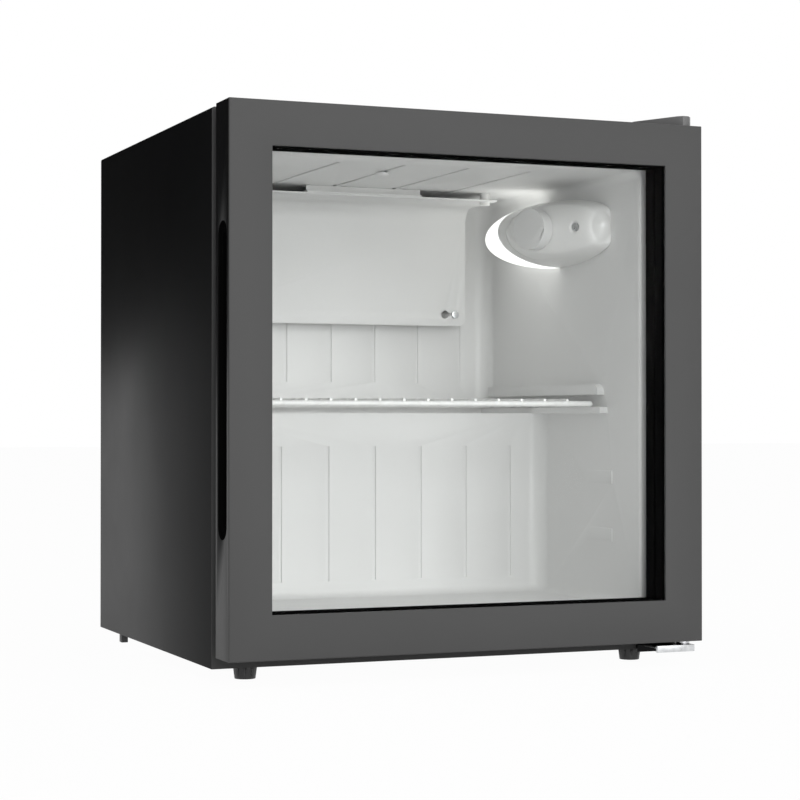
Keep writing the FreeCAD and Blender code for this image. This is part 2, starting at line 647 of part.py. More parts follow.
hollow = join("liner_hollow", [cut("cavity_ledged", cavity, liner_ledges())] + liner_grooves())
node(cut("liner", liner_block, [hollow, drain_hole]), "inner_liner")

foam_block = box("foam_block", ("-inside_half", "inside_half"), ("cabinet_y + sheet", "rear_y - sheet"),
                 ("base_z + sheet", "top_z - sheet"))
bay_block = box("bay_block", ("-half", "half"), ("bay_y - sheet", "rear_y"), ("base_z", "bay_z + sheet"))
foam_corners = doc.addObject("Part::Fillet", "foam_rounded")
foam_corners.Base = foam_block
doc.recompute()
ridge = [i for i, edge in enumerate(foam_block.Shape.Edges, start=1)
         if near(edge.BoundBox.YLength, places.rear_y - places.cabinet_y - 2 * sheet.get("sheet"))
         and near(edge.BoundBox.ZMax, places.top_z - sheet.get("sheet"))]
inner_radius = sheet.get("corner_radius") - sheet.get("sheet")
foam_corners.Edges = [(i, inner_radius, inner_radius) for i in ridge]
shank_spaces = join("shank_spaces", hinge_holes + leaf_holes)
stud_holes = stud_space("stud_space", "stud_radius + running_gap")
foam_tools = [bay_block, rail, liner_block, drain_hole, nut_plate_block, nut_space(), stud_holes,
              shank_spaces]
node(cut("foam", foam_corners, foam_tools), "foam_insulation")
node(cut("wrapper_drilled", wrapper, hinge_holes), "outer_wrapper")
node(rail, "front_rail")
node(cut("pan_drilled", pan, [stud_holes] + leaf_holes), "floor_pan")
node(cut("bay_drilled", bay, [drain_hole]), "bay_panel")
node(back, "back_panel")


# ---------------------------------------------------------------- evaporator
def evaporator():
    """Roll-bonded plate: an upright panel that bends forward under the ceiling."""
    body = new_body("evaporator")
    rear_face = "evaporator_y + evaporator_thickness"
    under = "evaporator_z - evaporator_thickness"
    profile = [("evaporator_y", "evaporator_low_z"), (rear_face, "evaporator_low_z"),
               (rear_face, "evaporator_z"), ("evaporator_front_y", "evaporator_z"),
               ("evaporator_front_y", under), ("evaporator_y", under)]
    pad(body, outline(body, "YZ_Plane", profile), "2 * evaporator_half", centred=True)
    bend_z = places.evaporator_z - sheet.get("evaporator_bend")
    rear_y = places.evaporator_y + sheet.get("evaporator_thickness")
    round_edges(body, "evaporator_bend",
                lambda b: runs_along_x(b) and near(b.YMin, places.evaporator_y) and b.ZMin > bend_z)
    round_edges(body, "evaporator_bend + evaporator_thickness",
                lambda b: runs_along_x(b) and near(b.YMin, rear_y) and b.ZMin > bend_z)
    round_edges(body, "evaporator_corner",
                lambda b: runs_along_y(b) and near(b.ZMin, places.evaporator_low_z))
    return body


SPACER_SPOTS = [(f"{sign} * (evaporator_half - post_inset)", "evaporator_low_z + post_inset")
                for side, sign in SIDES]
CLIP_SPOTS = [(f"{sign} * (evaporator_half - 2 * post_radius)", "evaporator_front_y + 1.6 * post_radius")
              for side, sign in SIDES]
screw_holes = [rod(f"plate_hole_{i}", x, "evaporator_y - 1", z, "screw_radius", 5, axis="y")
               for i, (x, z) in enumerate(SPACER_SPOTS)]
clip_holes = [rod(f"clip_hole_{i}", x, y, "evaporator_z - 5", "screw_radius", 8)
              for i, (x, y) in enumerate(CLIP_SPOTS)]
keyholes = []
for i, (x, z) in enumerate(SPACER_SPOTS):
    keyholes.append(box(f"keyhole_slot_{i}", (f"{x} - keyhole_length", x),
                        ("evaporator_y - 1", "evaporator_y + 4"),
                        (f"{z} - screw_radius", f"{z} + screw_radius")))
    keyholes.append(rod(f"keyhole_entry_{i}", f"{x} - keyhole_length", "evaporator_y - 1", z,
                        "keyhole_radius", 5, axis="y"))
plate = cut("evaporator_drilled", evaporator(), screw_holes + clip_holes + keyholes)
node(plate, "evaporator_plate")

posts = []
plate_screws = []
for i, (x, z) in enumerate(SPACER_SPOTS):
    post = rod(f"post_{i}", x, "evaporator_y + evaporator_thickness", z, "post_radius",
               "evaporator_back_gap - evaporator_thickness", axis="y")
    bore = rod(f"post_bore_{i}", x, "evaporator_y", z, "screw_radius", "0.6 * evaporator_back_gap", axis="y")
    posts.append(cut(f"post_drilled_{i}", post, [bore]))
    head = rod(f"plate_head_{i}", x, "evaporator_y - screw_head", z, "screw_head_radius", "screw_head",
               axis="y")
    shank = rod(f"plate_shank_{i}", x, "evaporator_y", z, "screw_radius", "0.55 * evaporator_back_gap",
                axis="y")
    plate_screws.append(join(f"plate_screw_{i}", [head, shank]))
node(gather("evaporator_posts", posts), "evaporator_spacers")
node(gather("plate_screws", plate_screws), "evaporator_screws")
clips = []
button = "0.7 * post_radius"
for i, (x, y) in enumerate(CLIP_SPOTS):
    under = f"evaporator_z - evaporator_thickness - {button}"
    stem = rod(f"clip_stem_{i}", x, y, under, "screw_radius", f"ceiling_z - ({under})")
    head = rod(f"clip_button_{i}", x, y, under, "post_radius", button)
    collar = rod(f"clip_collar_{i}", x, y, "evaporator_z", "post_radius", "evaporator_top_gap")
    clips.append(join(f"clip_{i}", [stem, head, collar]))
node(gather("clip_pair", clips), "evaporator_clips")

hanger_y = "evaporator_front_y + hanger_lead"
hanger_web = box("hanger_web", ("-hanger_half", "hanger_half"), (hanger_y, f"{hanger_y} + hanger_thickness"),
                 ("evaporator_z", "ceiling_z"))
hanger_foot = box("hanger_foot", ("-hanger_half", "hanger_half"),
                  ("evaporator_front_y", "evaporator_front_y + hanger_lap"),
                  ("evaporator_z", "evaporator_z + hanger_thickness"))
node(join("hanger", [hanger_web, hanger_foot]), "evaporator_hanger")

# a moulded plug stands in one of the ceiling's grooves
plug_place = ("-ceiling_groove_pitch / 2", "cabinet_y + plug_forward", "ceiling_z - plug_height")
plug = join("plug", [rod("plug_cap", *plug_place, "plug_radius", "plug_height"),
                     rod("plug_stem", *plug_place, "groove_width / 2", "plug_height + groove_depth")])
node(plug, "ceiling_plug")


# ---------------------------------------------------------------- lamp and thermostat housing
TILT = math.radians(sheet.get("knob_tilt"))
FACE_NORMAL = vector(-math.cos(TILT), -math.sin(TILT), 0)
FACE_FORWARD = vector(math.sin(TILT), -math.cos(TILT), 0)
FACE_TURN = FreeCAD.Rotation(FACE_FORWARD, vector(0, 0, 1), FACE_NORMAL)


def on_face(thing, forward=0, up=0, out=0):
    """Place a thing in the knob face's own frame; out is along the face's normal."""
    turn = "knob_tilt * 1 deg"
    thing.Placement.Rotation = FACE_TURN
    bind(thing, Placement__Base__x=f"knob_x + sin({turn}) * ({forward}) - cos({turn}) * ({out})",
         Placement__Base__y=f"knob_y - cos({turn}) * ({forward}) - sin({turn}) * ({out})",
         Placement__Base__z=f"lamp_z + ({up})")
    return thing


def face_rod(name, forward, up, out, radius, length):
    cylinder = doc.addObject("Part::Cylinder", name)
    bind(cylinder, Radius=radius, Height=length)
    return on_face(cylinder, forward, up, out)


def face_box(name, forward, up, out):
    """A block given by (low, high) pairs in the knob face's frame."""
    block = doc.addObject("Part::Box", name)
    bind(block, Length=span(*forward), Width=span(*up), Height=span(*out))
    return on_face(block, forward[0], up[0], out[0])


def lens_side():
    """Everything behind and below a ring that stands round the knob's rear half."""
    whole = ("-lamp_length", "lamp_length")
    behind = face_box("lens_behind", ("-lamp_length", "-lens_ring_back"), whole, whole)
    below = face_box("lens_below", whole, ("-lamp_length", "-lens_ring_drop - lens_ring_radius"), whole)
    ring = face_rod("lens_ring", "-lens_ring_back", "-lens_ring_drop", "-lamp_length", "lens_ring_radius",
                    "2 * lamp_length")
    return cut("lens_region", join("lens_sides", [behind, below]), [ring])


def egg(name, inset):
    solid = doc.addObject("Part::Ellipsoid", name)
    bind(solid, Radius1=f"lamp_height / 2 - {inset}", Radius2=f"lamp_depth - {inset}",
         Radius3=f"lamp_length / 2 - {inset}")
    solid.Angle1 = -90
    solid.Angle2 = 90
    return locate(solid, "lamp_x", "lamp_y", "lamp_z")


def barrel(name, inset):
    """A block with a crowned front whose middle line lies in the knob's face."""
    radius = f"(cover_crown - {inset})"
    crown = doc.addObject("Part::Cylinder", name + "_crown")
    bind(crown, Radius=radius, Height="2 * lamp_length")
    on_face(crown, "-lamp_length", 0, "-cover_crown")
    crown.Placement.Rotation = FACE_TURN.multiply(AXIS_TURNS["x"])
    block = face_box(name + "_block", ("-lamp_length", "lamp_length"), (f"-{radius}", radius),
                     ("-lamp_length", "-cover_crown"))
    return join(name, [crown, block])


def lamp_housing():
    """An egg-shaped shell on the right wall, crowned towards the knob and blunt in front."""
    shapes = []
    for name, inset in (("egg_outer", "0"), ("egg_inner", "lamp_wall")):
        nose = box(name + "_nose", ("lamp_x - lamp_length", "lamp_x + lamp_length"),
                   ("lamp_y - lamp_length", f"lamp_y - lamp_front + {inset}"),
                   ("lamp_z - lamp_length", "lamp_z + lamp_length"))
        crowned = common(name + "_crowned", egg(name, inset), barrel(name + "_barrel", inset))
        shapes.append(cut(name + "_blunt", crowned, [nose]))
    return shapes


egg_solid, shell_inside = lamp_housing()
shell = cut("egg_shell", common("egg_in_cavity", egg_solid, cavity), [shell_inside])
screw_recess = face_rod("screw_recess", "cover_screw_forward", 0, "-1.5 * lamp_wall", "screw_recess_radius",
                        "lamp_length")
screw_bore = face_rod("screw_bore", "cover_screw_forward", 0, "-1.5 * lamp_wall - cover_screw_length",
                      "cover_screw_radius", "2 * cover_screw_length")
shaft_bore = face_rod("shaft_bore", 0, 0, "-2 * thermostat_depth", "shaft_radius + running_gap",
                      "3 * thermostat_depth")
cover_boss = face_rod("cover_boss", "cover_screw_forward", 0, "-2.5 * lamp_wall", "boss_radius",
                      "1.5 * lamp_wall")
lens_region = lens_side()
cover_shell = cut("cover_shell", shell, [lens_region])
lens_solid = common("lens_in_cavity", common("lens_solid", egg_solid, lens_region), cavity)
node(cut("lens", lens_solid, [shell_inside]), "lamp_lens")
cover = join("cover_solid", [cover_shell, cover_boss])
node(cut("cover", cover, [screw_recess, screw_bore, shaft_bore]), "lamp_cover")

# a moulded base against the liner's wall carries the cover's screw and the lamp's board
base_slab = box("base_slab", ("lamp_x - lamp_base_depth", "lamp_x + lamp_depth"),
                ("lamp_y - lamp_length", "lamp_y + lamp_length"),
                ("lamp_z - lamp_height", "lamp_z + lamp_height"))
base_boss = face_rod("base_boss", "cover_screw_forward", 0, "-lamp_depth - boss_radius",
                     "screw_recess_radius", "lamp_depth + boss_radius - 2.5 * lamp_wall")
base_blank = join("base_blank", [base_slab, base_boss])
base_zone = common("base_zone", shell_inside, cavity)
node(cut("lamp_base_drilled", common("lamp_base_solid", base_blank, base_zone), [screw_bore]), "lamp_base")

board_x = "lamp_x - lamp_base_depth - board_thickness"
board = box("board", (board_x, "lamp_x - lamp_base_depth"),
            ("lamp_y + board_start", "lamp_y + board_start + board_length"),
            ("lamp_z - board_half", "lamp_z + board_half"))
leds = []
for i in range(5):
    middle = f"lamp_y + board_start + board_length / 2 + {i - 2} * led_pitch"
    leds.append(box(f"led_{i}", (f"{board_x} - led_height", board_x),
                    (f"{middle} - led_side / 2", f"{middle} + led_side / 2"),
                    ("lamp_z - led_side / 2", "lamp_z + led_side / 2")))
node(join("led_strip", [board] + leds), "led_board")
thermostat = face_box("thermostat_block", ("-thermostat_half_length", "thermostat_half_length"),
                      ("-thermostat_half_height", "thermostat_half_height"),
                      ("-thermostat_stand - lamp_wall - thermostat_depth", "-thermostat_stand - lamp_wall"))
node(cut("thermostat", thermostat, [shaft_bore]), "thermostat_body")
dial = face_rod("dial", 0, 0, "dial_stand", "knob_radius", "knob_thickness - dial_stand")
shaft = face_rod("shaft", 0, 0, "-0.6 * thermostat_depth", "shaft_radius",
                 "0.6 * thermostat_depth + 2 * dial_stand")
pointer = face_box("pointer", ("knob_radius - pointer_length - dial_stand", "knob_radius - dial_stand"),
                   ("-pointer_half", "pointer_half"),
                   ("knob_thickness - 2 * dial_stand", "knob_thickness + dial_stand"))
node(join("knob", [dial, shaft, pointer]), "thermostat_knob")
screw_top = face_rod("cover_screw_top", "cover_screw_forward", 0, "-1.5 * lamp_wall", "cover_screw_head",
                     "lamp_wall")
screw_shank = face_rod("cover_screw_shank", "cover_screw_forward", 0,
                       "-1.5 * lamp_wall - cover_screw_length", "cover_screw_radius", "cover_screw_length")
node(join("cover_screw_solid", [screw_top, screw_shank]), "cover_screw")


# ---------------------------------------------------------------- wire shelf
def wire_shelf():
    """Rounded rectangular hoop with lighter wires laid across it from front to back."""
    middle = "shelf_half - shelf_rail / 2"
    y = ("shelf_y", "shelf_back_y")
    wire_radius = "shelf_wire / 2"
    rails = []
    for i, y_rail in enumerate(y):
        rails.append(rod(f"shelf_long_{i}", f"shelf_corner - ({middle})", y_rail, "shelf_z", "shelf_rail / 2",
                         f"2 * ({middle} - shelf_corner)", axis="x"))
    for side, sign in SIDES:
        rails.append(rod(f"shelf_side_{side}", f"{sign} * ({middle})", "shelf_y + shelf_corner", "shelf_z",
                         "shelf_rail / 2", "shelf_back_y - shelf_y - 2 * shelf_corner", axis="y"))
    turns = {(1, 1): 0, (-1, 1): 90, (-1, -1): 180, (1, -1): 270}
    for (across, along), turn in turns.items():
        bend = doc.addObject("Part::Torus", f"shelf_bend_{turn}")
        bind(bend, Radius1="shelf_corner", Radius2="shelf_rail / 2")
        bend.Angle3 = 90
        bend.Placement.Rotation = FreeCAD.Rotation(vector(0, 0, 1), turn)
        corner_y = "shelf_back_y - shelf_corner" if along > 0 else "shelf_y + shelf_corner"
        rails.append(locate(bend, f"{across} * ({middle} - shelf_corner)", corner_y, "shelf_z"))
    hoop = join("shelf_hoop", rails)
    cross = [rod("shelf_middle", f"-({middle})", "(shelf_y + shelf_back_y) / 2", "shelf_z",
                     "shelf_rail / 2 - 0.4", f"2 * ({middle})", axis="x")]
    count = int((places.shelf_half - sheet.get("shelf_corner")) / sheet.get("shelf_wire_pitch"))
    for index in range(-count, count + 1):
        cross.append(rod(f"shelf_wire_{index + count}", f"{index} * shelf_wire_pitch", "shelf_y - 1",
                         f"shelf_z + shelf_rail / 2 + {wire_radius} - 0.5", wire_radius,
                         "shelf_back_y - shelf_y + 2", axis="y"))
    return join("shelf", [hoop] + cross)


node(wire_shelf(), "wire_shelf")


# ---------------------------------------------------------------- compressor bay
def compressor():
    """A welded steel shell turned round its own axis, on a square plate of legs."""
    body = new_body("pot")
    seam = "pot_radius + pot_seam"
    middle = "pot_height / 2"
    profile = [("0", "0"), ("0.85 * pot_radius", "0"), ("pot_radius", "0.085 * pot_height"),
               ("pot_radius", f"{middle} - 3"), (seam, f"{middle} - 3"), (seam, f"{middle} + 3"),
               ("pot_radius", f"{middle} + 3"), ("pot_radius", "0.81 * pot_height"),
               ("0.78 * pot_radius", "0.94 * pot_height"), ("0.5 * pot_radius", "pot_height"),
               ("0", "pot_height")]
    sketch = outline(body, "XZ_Plane", profile)
    turn = body.newObject("PartDesign::Revolution", "pot_turn")
    turn.Profile = sketch
    turn.ReferenceAxis = (sketch, ["V_Axis"])
    turn.Angle = 360
    body.Tip = turn
    locate(body, "pot_offset", "pot_y", "pot_z")
    reach = "(mount_pitch / 2 + grommet_radius)"
    legs = box("pot_legs", (f"pot_offset - {reach}", f"pot_offset + {reach}"),
               (f"pot_y - {reach}", f"pot_y + {reach}"), ("pot_z", "pot_z + leg_thickness"))
    return body, legs


MOUNT_SPOTS = [(f"pot_offset + {across} * mount_pitch / 2", f"pot_y + {along} * mount_pitch / 2")
               for across in (-1, 1) for along in (-1, 1)]


def value(number):
    return getattr(places, number) if number in PLACES else sheet.get(number)


def tube(label, points, radius, bend):
    """A pipe along straight runs joined by tangent arcs."""
    points = [vector(*point) for point in points]
    edges = []
    start = points[0]
    for here, corner, ahead in zip(points, points[1:], points[2:]):
        back = (here - corner).normalize()
        on = (ahead - corner).normalize()
        half_turn = (math.pi - back.getAngle(on)) / 2
        trim = bend * math.tan(half_turn)
        middle = corner + (back + on).normalize() * (bend / math.cos(half_turn) - bend)
        arc_start, arc_end = corner + back * trim, corner + on * trim
        edges.append(Part.LineSegment(start, arc_start).toShape())
        edges.append(Part.Arc(arc_start, middle, arc_end).toShape())
        start = arc_end
    edges.append(Part.LineSegment(start, points[-1]).toShape())
    path = Part.Wire(edges)
    ring = Part.Wire([Part.Circle(points[0], points[1] - points[0], radius).toShape()])
    feature = doc.addObject("Part::Feature", label + "_pipe")
    feature.Shape = path.makePipeShell([ring], True, False, 2)
    return feature


def compressor_tray():
    """Folded pan under the compressor, and the gland that its mains lead leaves through."""
    inner_half = "inside_half - tray_thickness"
    flange = ("base_z", "base_z + tray_flange")
    tray = [box("tray_floor", ("-inside_half", "inside_half"), ("bay_y", "rear_y"), ("base_z", "tray_z")),
            box("tray_lip", ("-inside_half", "inside_half"), ("rear_y - tray_thickness", "rear_y"), flange),
            box("tray_side_left", ("-inside_half", f"-({inner_half})"), ("bay_y", "rear_y"), flange),
            box("tray_side_right", (inner_half, "inside_half"), ("bay_y", "rear_y"), flange)]
    gland_place = ("-gland_offset", "rear_y - 2 * gland_radius", "base_z + tray_flange / 2")
    hole = rod("gland_hole", *gland_place, "gland_radius", "4 * gland_radius", axis="y")
    bore = rod("gland_through", *gland_place, "gland_bore", "4 * gland_radius", axis="y")
    neck = rod("gland_neck", "-gland_offset", "rear_y - gland_radius", gland_place[2], "gland_radius",
               "gland_radius + gland_collar", axis="y")
    collar = rod("gland_collar_ring", "-gland_offset", "rear_y", gland_place[2], "gland_collar_radius",
                 "gland_collar", axis="y")
    node(cut("tray", join("tray_solid", tray), [hole]), "compressor_tray")
    node(cut("gland", join("gland_solid", [neck, collar]), [bore]), "cord_gland")


def compressor_set():
    """The compressor on its rubber feet, its terminal cover and the tray that boils off the melt water."""
    body, legs = compressor()
    bolt_holes = [rod(f"bolt_hole_{i}", x, y, "base_z", "bolt_radius", "4 * grommet_height")
                  for i, (x, y) in enumerate(MOUNT_SPOTS)]
    node(cut("compressor_drilled", join("compressor_solid", [body, legs]), bolt_holes), "compressor")
    grommets = []
    bolts = []
    for i, (x, y) in enumerate(MOUNT_SPOTS):
        rubber = rod(f"grommet_rod_{i}", x, y, "tray_z", "grommet_radius", "grommet_height")
        grommets.append(cut(f"grommet_{i}", rubber, [bolt_holes[i]]))
        stud = rod(f"bolt_stud_{i}", x, y, "tray_z", "bolt_radius", "grommet_height + bolt_reach")
        nut = rod(f"bolt_nut_{i}", x, y, "pot_z + leg_thickness", "2 * bolt_radius", "nut_depth")
        bolts.append(join(f"bolt_{i}", [stud, nut]))
    node(gather("grommets", grommets), "compressor_grommets")
    node(gather("bolts", bolts), "compressor_bolts")
    pot_side = "pot_offset - pot_radius"
    terminal = box("terminal_block", (f"{pot_side} - terminal_depth", f"{pot_side} + 0.15 * pot_radius"),
                   ("pot_y - terminal_half", "pot_y + terminal_half"),
                   ("pot_z + terminal_rise", "pot_z + pot_height / 2 - 6"))
    pot_space = rod("pot_space", "pot_offset", "pot_y", "pot_z", "pot_radius", "pot_height")
    node(cut("terminal", terminal, [pot_space]), "terminal_cover")
    low = "pot_z + pot_height"
    pan = box("drip_outer", ("pot_offset - drip_half_width", "pot_offset + drip_half_width"),
              ("pot_y - drip_half_length", "pot_y + drip_half_length"), (low, f"{low} + drip_height"))
    basin = box("drip_inner",
                ("pot_offset - drip_half_width + drip_wall", "pot_offset + drip_half_width - drip_wall"),
                ("pot_y - drip_half_length + drip_wall", "pot_y + drip_half_length - drip_wall"),
                (f"{low} + drip_wall", f"{low} + 2 * drip_height"))
    node(cut("drip", pan, [basin]), "drip_tray")


def condenser_wires(low, high):
    """Stiff wires welded across both faces of the serpentine."""
    wires = []
    count = int((value("condenser_half") - 12) / value("condenser_wire_pitch"))
    for face, sign in (("outer", 1), ("inner", -1)):
        y = f"condenser_y + {sign} * (condenser_tube + condenser_wire - wire_sink)"
        for index in range(-count, count + 1):
            wires.append(rod(f"wire_{face}_{index + count}", f"{index} * condenser_wire_pitch", y,
                             f"{low:.4f} - 10", "condenser_wire", high - low + 20))
    return wires, count


def condenser_clips(levels, count):
    """Blocks on the back panel that hold the end runs and straddle the inner wires."""
    clips = []
    for level, run_z in enumerate(levels):
        for side, sign in SIDES:
            name = f"{side}_{level}"
            middle = f"{sign} * (condenser_half - 30)"
            block = box(f"clip_{name}", (f"{middle} - 0.8 * clip_half", f"{middle} + 0.8 * clip_half"),
                        ("rear_y", "condenser_y"), (f"{run_z:.4f} - clip_half", f"{run_z:.4f} + clip_half"))
            groove = rod(f"clip_groove_{name}", f"{middle} - 2 * clip_half", "condenser_y", f"{run_z:.4f}",
                         "condenser_tube", "4 * clip_half", axis="x")
            slots = [rod(f"clip_slot_{name}_{n}", f"{n} * condenser_wire_pitch",
                         "condenser_y - condenser_tube - condenser_wire + wire_sink",
                         f"{run_z:.4f} - 3 * clip_half", "condenser_wire", "6 * clip_half")
                     for n in (sign * (count - 1), sign * count)]
            clips.append(cut(f"clip_{name}_cut", block, [groove] + slots))
    return gather("condenser_clip_set", clips)


def refrigerant_lines():
    """Wire-on-tube condenser behind the back panel, its two lines, the drier and the capillary."""
    y = places.condenser_y
    reach = value("condenser_half")
    pitch = value("condenser_pitch")
    low = places.condenser_low_z
    runs = int((places.top_z - 30 - low) / pitch) // 2 * 2
    top = low + (runs - 1) * pitch
    radius = value("condenser_tube")
    bend = value("tube_bend")
    inlet = low - value("condenser_lead")
    points = [(-reach, y, inlet), (-reach, y, low)]
    x = -reach
    for index in range(runs):
        x = -x
        points.append((x, y, low + index * pitch))
        points.append((x, y, low + (index + 1) * pitch))
    points[-2:] = [(-reach, y, top)]
    pipe = tube("serpentine", points, radius, min(pitch / 2 - 0.5, 0.7 * bend))
    wires, count = condenser_wires(low, top)
    node(join("condenser_grid", [pipe] + wires), "condenser")
    node(condenser_clips((low, top), count), "condenser_clips")

    drier_x = -reach - value("drier_offset")
    drier_y = places.pot_y + value("drier_setback")
    drier_low = places.base_z + value("drier_rise")
    drier_top = drier_low + value("drier_length")
    liquid_z = drier_top + value("drier_entry")
    node(tube("liquid", [(-reach, y, top), (drier_x, y, top), (drier_x, y, liquid_z),
                         (drier_x, drier_y, liquid_z), (drier_x, drier_y, drier_top)],
              radius, 0.6 * bend), "liquid_tube")
    node(rod("drier", drier_x, drier_y, drier_low, "drier_radius", "drier_length"), "filter_drier")
    capillary_z = drier_low - value("capillary_drop")
    node(tube("capillary", [(drier_x, drier_y, drier_low), (drier_x, drier_y, capillary_z),
                            (drier_x, places.bay_y, capillary_z)],
              value("capillary_radius"), value("capillary_bend")), "capillary_tube")

    pot_left = value("pot_offset") - value("pot_radius")
    pot_right = value("pot_offset") + value("pot_radius")
    outlet_z = places.pot_z + 0.7 * value("pot_height")
    node(tube("discharge", [(pot_left + 0.01, places.pot_y, outlet_z), (-reach, places.pot_y, outlet_z),
                            (-reach, y, outlet_z), (-reach, y, inlet)], radius, bend), "discharge_tube")
    suction_x = pot_right + 2 * bend
    inlet_z = places.pot_z + 0.6 * value("pot_height")
    suction_z = places.bay_z - value("suction_drop")
    node(tube("suction", [(pot_right - 0.01, places.pot_y, inlet_z), (suction_x, places.pot_y, inlet_z),
                          (suction_x, places.pot_y, suction_z), (suction_x, places.bay_y, suction_z)],
              value("tube_radius"), bend), "suction_tube")


compressor_tray()
compressor_set()
refrigerant_lines()


# ---------------------------------------------------------------- door
def ring(name, outer, inner, y):
    """A rectangular ring seen from the front; outer and inner are half-widths."""
    def plate(part, reach, depth):
        edge = f"(half - ({reach}))"
        return box(f"{name}_{part}", (f"-({reach})", reach), depth,
                   (f"door_z + {edge}", f"door_top_z - {edge}"))
    return cut(name, plate("outer", outer, y), [plate("inner", inner, (f"({y[0]}) - 1", f"({y[1]}) + 1"))])


def long_slot(name, width, length, x_depth):
    """A round-ended slot sunk into the door's free edge, centred on its height."""
    y = "front_y + handle_front + handle_width / 2"
    low = f"(door_z + door_top_z) / 2 - ({length}) / 2 + ({width}) / 2"
    high = f"(door_z + door_top_z) / 2 + ({length}) / 2 - ({width}) / 2"
    middle = box(name + "_middle", ("-half", f"{x_depth} - half"),
                 (f"{y} - ({width}) / 2", f"{y} + ({width}) / 2"), (low, high))
    ends = [rod(f"{name}_end_{i}", "-half", y, z, f"({width}) / 2", x_depth, axis="x")
            for i, z in enumerate((low, high))]
    return join(name, [middle] + ends)


def door_frame():
    body = new_body("frame")
    face = rectangle(("-half", "half"), ("door_z", "door_top_z"))
    pad(body, outline(body, "XZ_Plane", face, "-door_back_y"), "door_thickness")
    round_edges(body, "door_edge_radius", lambda b: near(b.YMax, places.front_y))
    window = rectangle(("-window_half", "window_half"), ("door_z + frame_width", "door_top_z - frame_width"))
    pocket(body, outline(body, "XZ_Plane", window, "-door_back_y"), "door_thickness", reverse=True)
    rebate = rectangle(("-glass_half", "glass_half"),
                       ("door_z + frame_width - glass_rebate", "door_top_z - frame_width + glass_rebate"))
    pocket(body, outline(body, "XZ_Plane", rebate, "-door_back_y"), "door_thickness - front_lip",
           reverse=True)
    return body


def door():
    recess = long_slot("recess", "handle_width", "handle_length", "handle_depth")
    finger_slot = long_slot("finger_slot", "slot_width", "slot_length", "handle_depth - cup_wall")
    mouth = long_slot("mouth", "handle_width - 2 * cup_wall", "handle_length - 2 * cup_wall", "cup_wall")
    top_bore = rod("top_bore", "hinge_x", "hinge_y", "door_top_z - bush_length", "bush_radius",
                   "bush_length + 5")
    low_bore = rod("low_bore", "hinge_x", "hinge_y", "door_z - 5", "bush_radius", "bush_length + 5")
    node(cut("frame_cut", door_frame(), [recess, top_bore, low_bore]), "door_frame")
    node(cut("cup", recess, [finger_slot, mouth]), "handle_cup")
    rebate_edge = ("door_z + frame_width - glass_rebate", "door_top_z - frame_width + glass_rebate")
    for label, start in (("front_glass", "glass_y"), ("rear_glass", "glass_y + glass + glass_space")):
        node(box(label + "_pane", ("-glass_half", "glass_half"), (start, f"{start} + glass"), rebate_edge),
             label)
    node(ring("spacer", "glass_half", "window_half", ("glass_y + glass", "glass_y + glass + glass_space")),
         "glass_spacer")
    node(ring("inner_ring", "glass_half", "window_half", ("inner_frame_y", "door_back_y")), "inner_frame")
    node(ring("seal", "half - gasket_inset", "half - gasket_inset - gasket_width",
              ("door_back_y", "cabinet_y - moving_gap")), "door_gasket")
    for label, low in (("top_bushing", "door_top_z - bush_length"), ("bottom_bushing", "door_z")):
        sleeve = rod(label + "_sleeve", "hinge_x", "hinge_y", low, "bush_radius", "bush_length")
        hole = rod(label + "_hole", "hinge_x", "hinge_y", f"{low} - 1", "pin_radius + running_gap",
                   "bush_length + 2")
        node(cut(label + "_cut", sleeve, [hole]), label)


door()

# ---------------------------------------------------------------- checks and export
doc.recompute()
for thing in doc.Objects:
    if "Invalid" in thing.State or "Error" in thing.State:
        raise ValueError(f"{thing.Name} could not be built: {thing.State}")
for thing in NODES:
    if thing.Shape.isNull() or not thing.Shape.isValid():
        raise ValueError(f"{thing.Label} has no valid shape")
    thing.Shape.exportStep(f"parts/{thing.Label}.step")
print(len(NODES), "nodes written")
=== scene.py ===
import json
from math import cos, pi, radians, sin

import bmesh
import bpy
from mathutils import Matrix, Vector


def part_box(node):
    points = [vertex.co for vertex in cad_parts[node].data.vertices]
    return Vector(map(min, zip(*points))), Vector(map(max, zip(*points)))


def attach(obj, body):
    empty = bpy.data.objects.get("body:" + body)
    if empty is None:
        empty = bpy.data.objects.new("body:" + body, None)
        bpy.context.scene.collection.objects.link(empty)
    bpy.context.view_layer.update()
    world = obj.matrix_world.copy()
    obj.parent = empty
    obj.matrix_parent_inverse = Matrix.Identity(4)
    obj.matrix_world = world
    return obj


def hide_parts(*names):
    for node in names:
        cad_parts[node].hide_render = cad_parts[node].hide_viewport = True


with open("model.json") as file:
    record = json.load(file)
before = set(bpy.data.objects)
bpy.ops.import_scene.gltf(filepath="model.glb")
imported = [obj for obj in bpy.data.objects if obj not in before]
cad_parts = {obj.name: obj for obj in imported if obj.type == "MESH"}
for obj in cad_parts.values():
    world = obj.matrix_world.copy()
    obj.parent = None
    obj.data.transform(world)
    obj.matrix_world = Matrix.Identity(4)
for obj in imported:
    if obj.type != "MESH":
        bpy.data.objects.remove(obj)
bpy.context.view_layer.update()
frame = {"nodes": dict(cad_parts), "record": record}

# ---------------------------------------------------------------- folded steel shell
# The cabinet's two sides and top are one sheet of steel, folded and sprayed satin black.
# Its front flanges, which face the door, carry a painted grey reflection of the front light, the same as
# the door's own face.
BODY_OF = {node: body for body, nodes in frame["record"]["behaviour"]["bodies"].items()
           for node in nodes}
SATIN_BLACK = (0.0065, 0.0066, 0.0070, 1)
FRONT_REFLECTION_GREY = (0.084, 0.084, 0.084, 1)


def node_with(tree, kind, **values):
    """A node with its unlinked sockets set by name."""
    made = tree.nodes.new(kind)
    for name, value in values.items():
        made.inputs[name.replace("_", " ")].default_value = value
    return made


